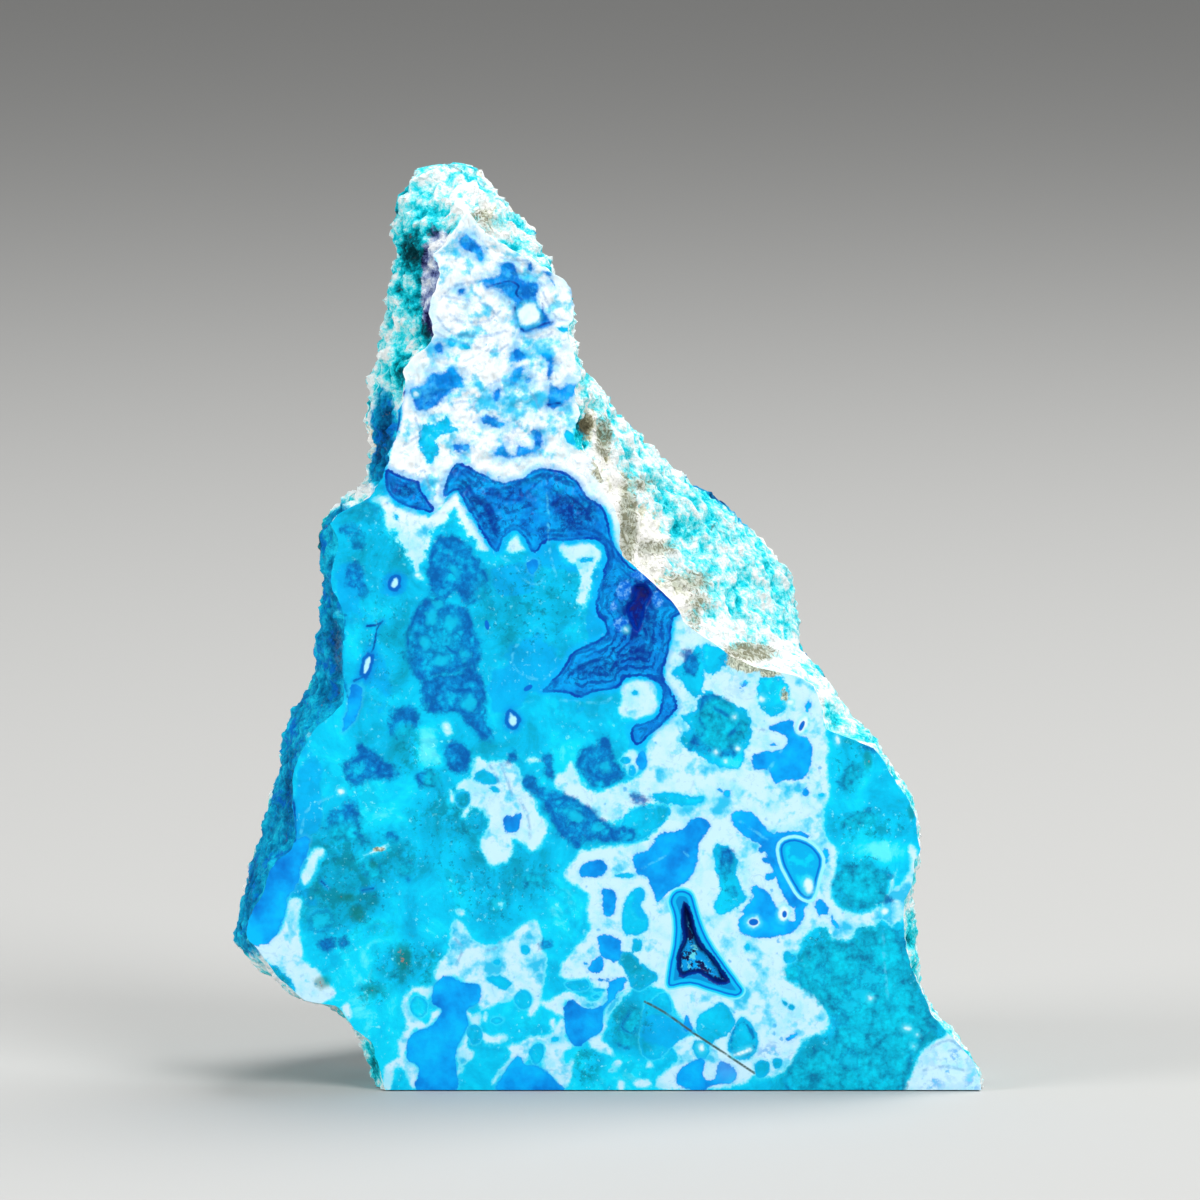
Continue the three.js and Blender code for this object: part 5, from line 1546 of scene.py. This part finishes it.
def make_floor():
    bpy.ops.mesh.primitive_plane_add(size=FLOOR_SIZE, location=(0, 0, -FLOOR_DROP))
    floor = bpy.context.object
    floor.name = "floor"
    material = bpy.data.materials.new("floor")
    material.use_nodes = True
    surface = material.node_tree.nodes["Principled BSDF"]
    surface.inputs["Base Color"].default_value = screen_colour(FLOOR_GREY)
    surface.inputs["Roughness"].default_value = FLOOR_ROUGHNESS
    floor.data.materials.append(material)


def aim(thing, target):
    thing.rotation_euler = (Vector(target) - thing.location).to_track_quat("-Z", "Y").to_euler()


def make_light(name, place, target, size, power):
    light = bpy.data.lights.new(name, "AREA")
    light.shape = "DISK"
    light.size = size
    light.energy = power
    lamp = bpy.data.objects.new(name, light)
    lamp.location = place
    bpy.context.scene.collection.objects.link(lamp)
    aim(lamp, target)


def make_studio():
    middle = (0, 0, HIGH.z / 2 / METRE)
    for name, place, size, power in LIGHTS:
        make_light(name, place, middle, size, power)
    world = bpy.data.worlds.new("studio")
    bpy.context.scene.world = world
    world.use_nodes = True
    background = world.node_tree.nodes["Background"]
    background.inputs["Color"].default_value = (1, 1, 1, 1)
    background.inputs["Strength"].default_value = WORLD_STRENGTH
    bpy.context.scene.view_settings.view_transform = "Standard"


def make_camera():
    """The photograph's view, with one of its pixels as large as PIXEL on the sawn front."""
    data = bpy.data.cameras.new("camera")
    camera = bpy.data.objects.new("camera", data)
    bpy.context.scene.collection.objects.link(camera)
    data.sensor_width = SENSOR
    data.lens = SENSOR * CAMERA_DISTANCE / (PHOTO_SIZE * PIXEL)
    across = LOW.x + (PIXEL_MIDDLE - PIXEL_LEFT) * PIXEL
    height = (PIXEL_BASE - PIXEL_MIDDLE) * PIXEL / math.cos(ELEVATION)
    target = Vector((across, LOW.y, height))
    away = Vector((0, -math.cos(ELEVATION), math.sin(ELEVATION))) * CAMERA_DISTANCE
    camera.location = (target + away) / METRE
    data.clip_end = CLIP_END
    aim(camera, target / METRE)
    bpy.context.scene.camera = camera


make_camera()
make_floor()
make_studio()
make_stone()
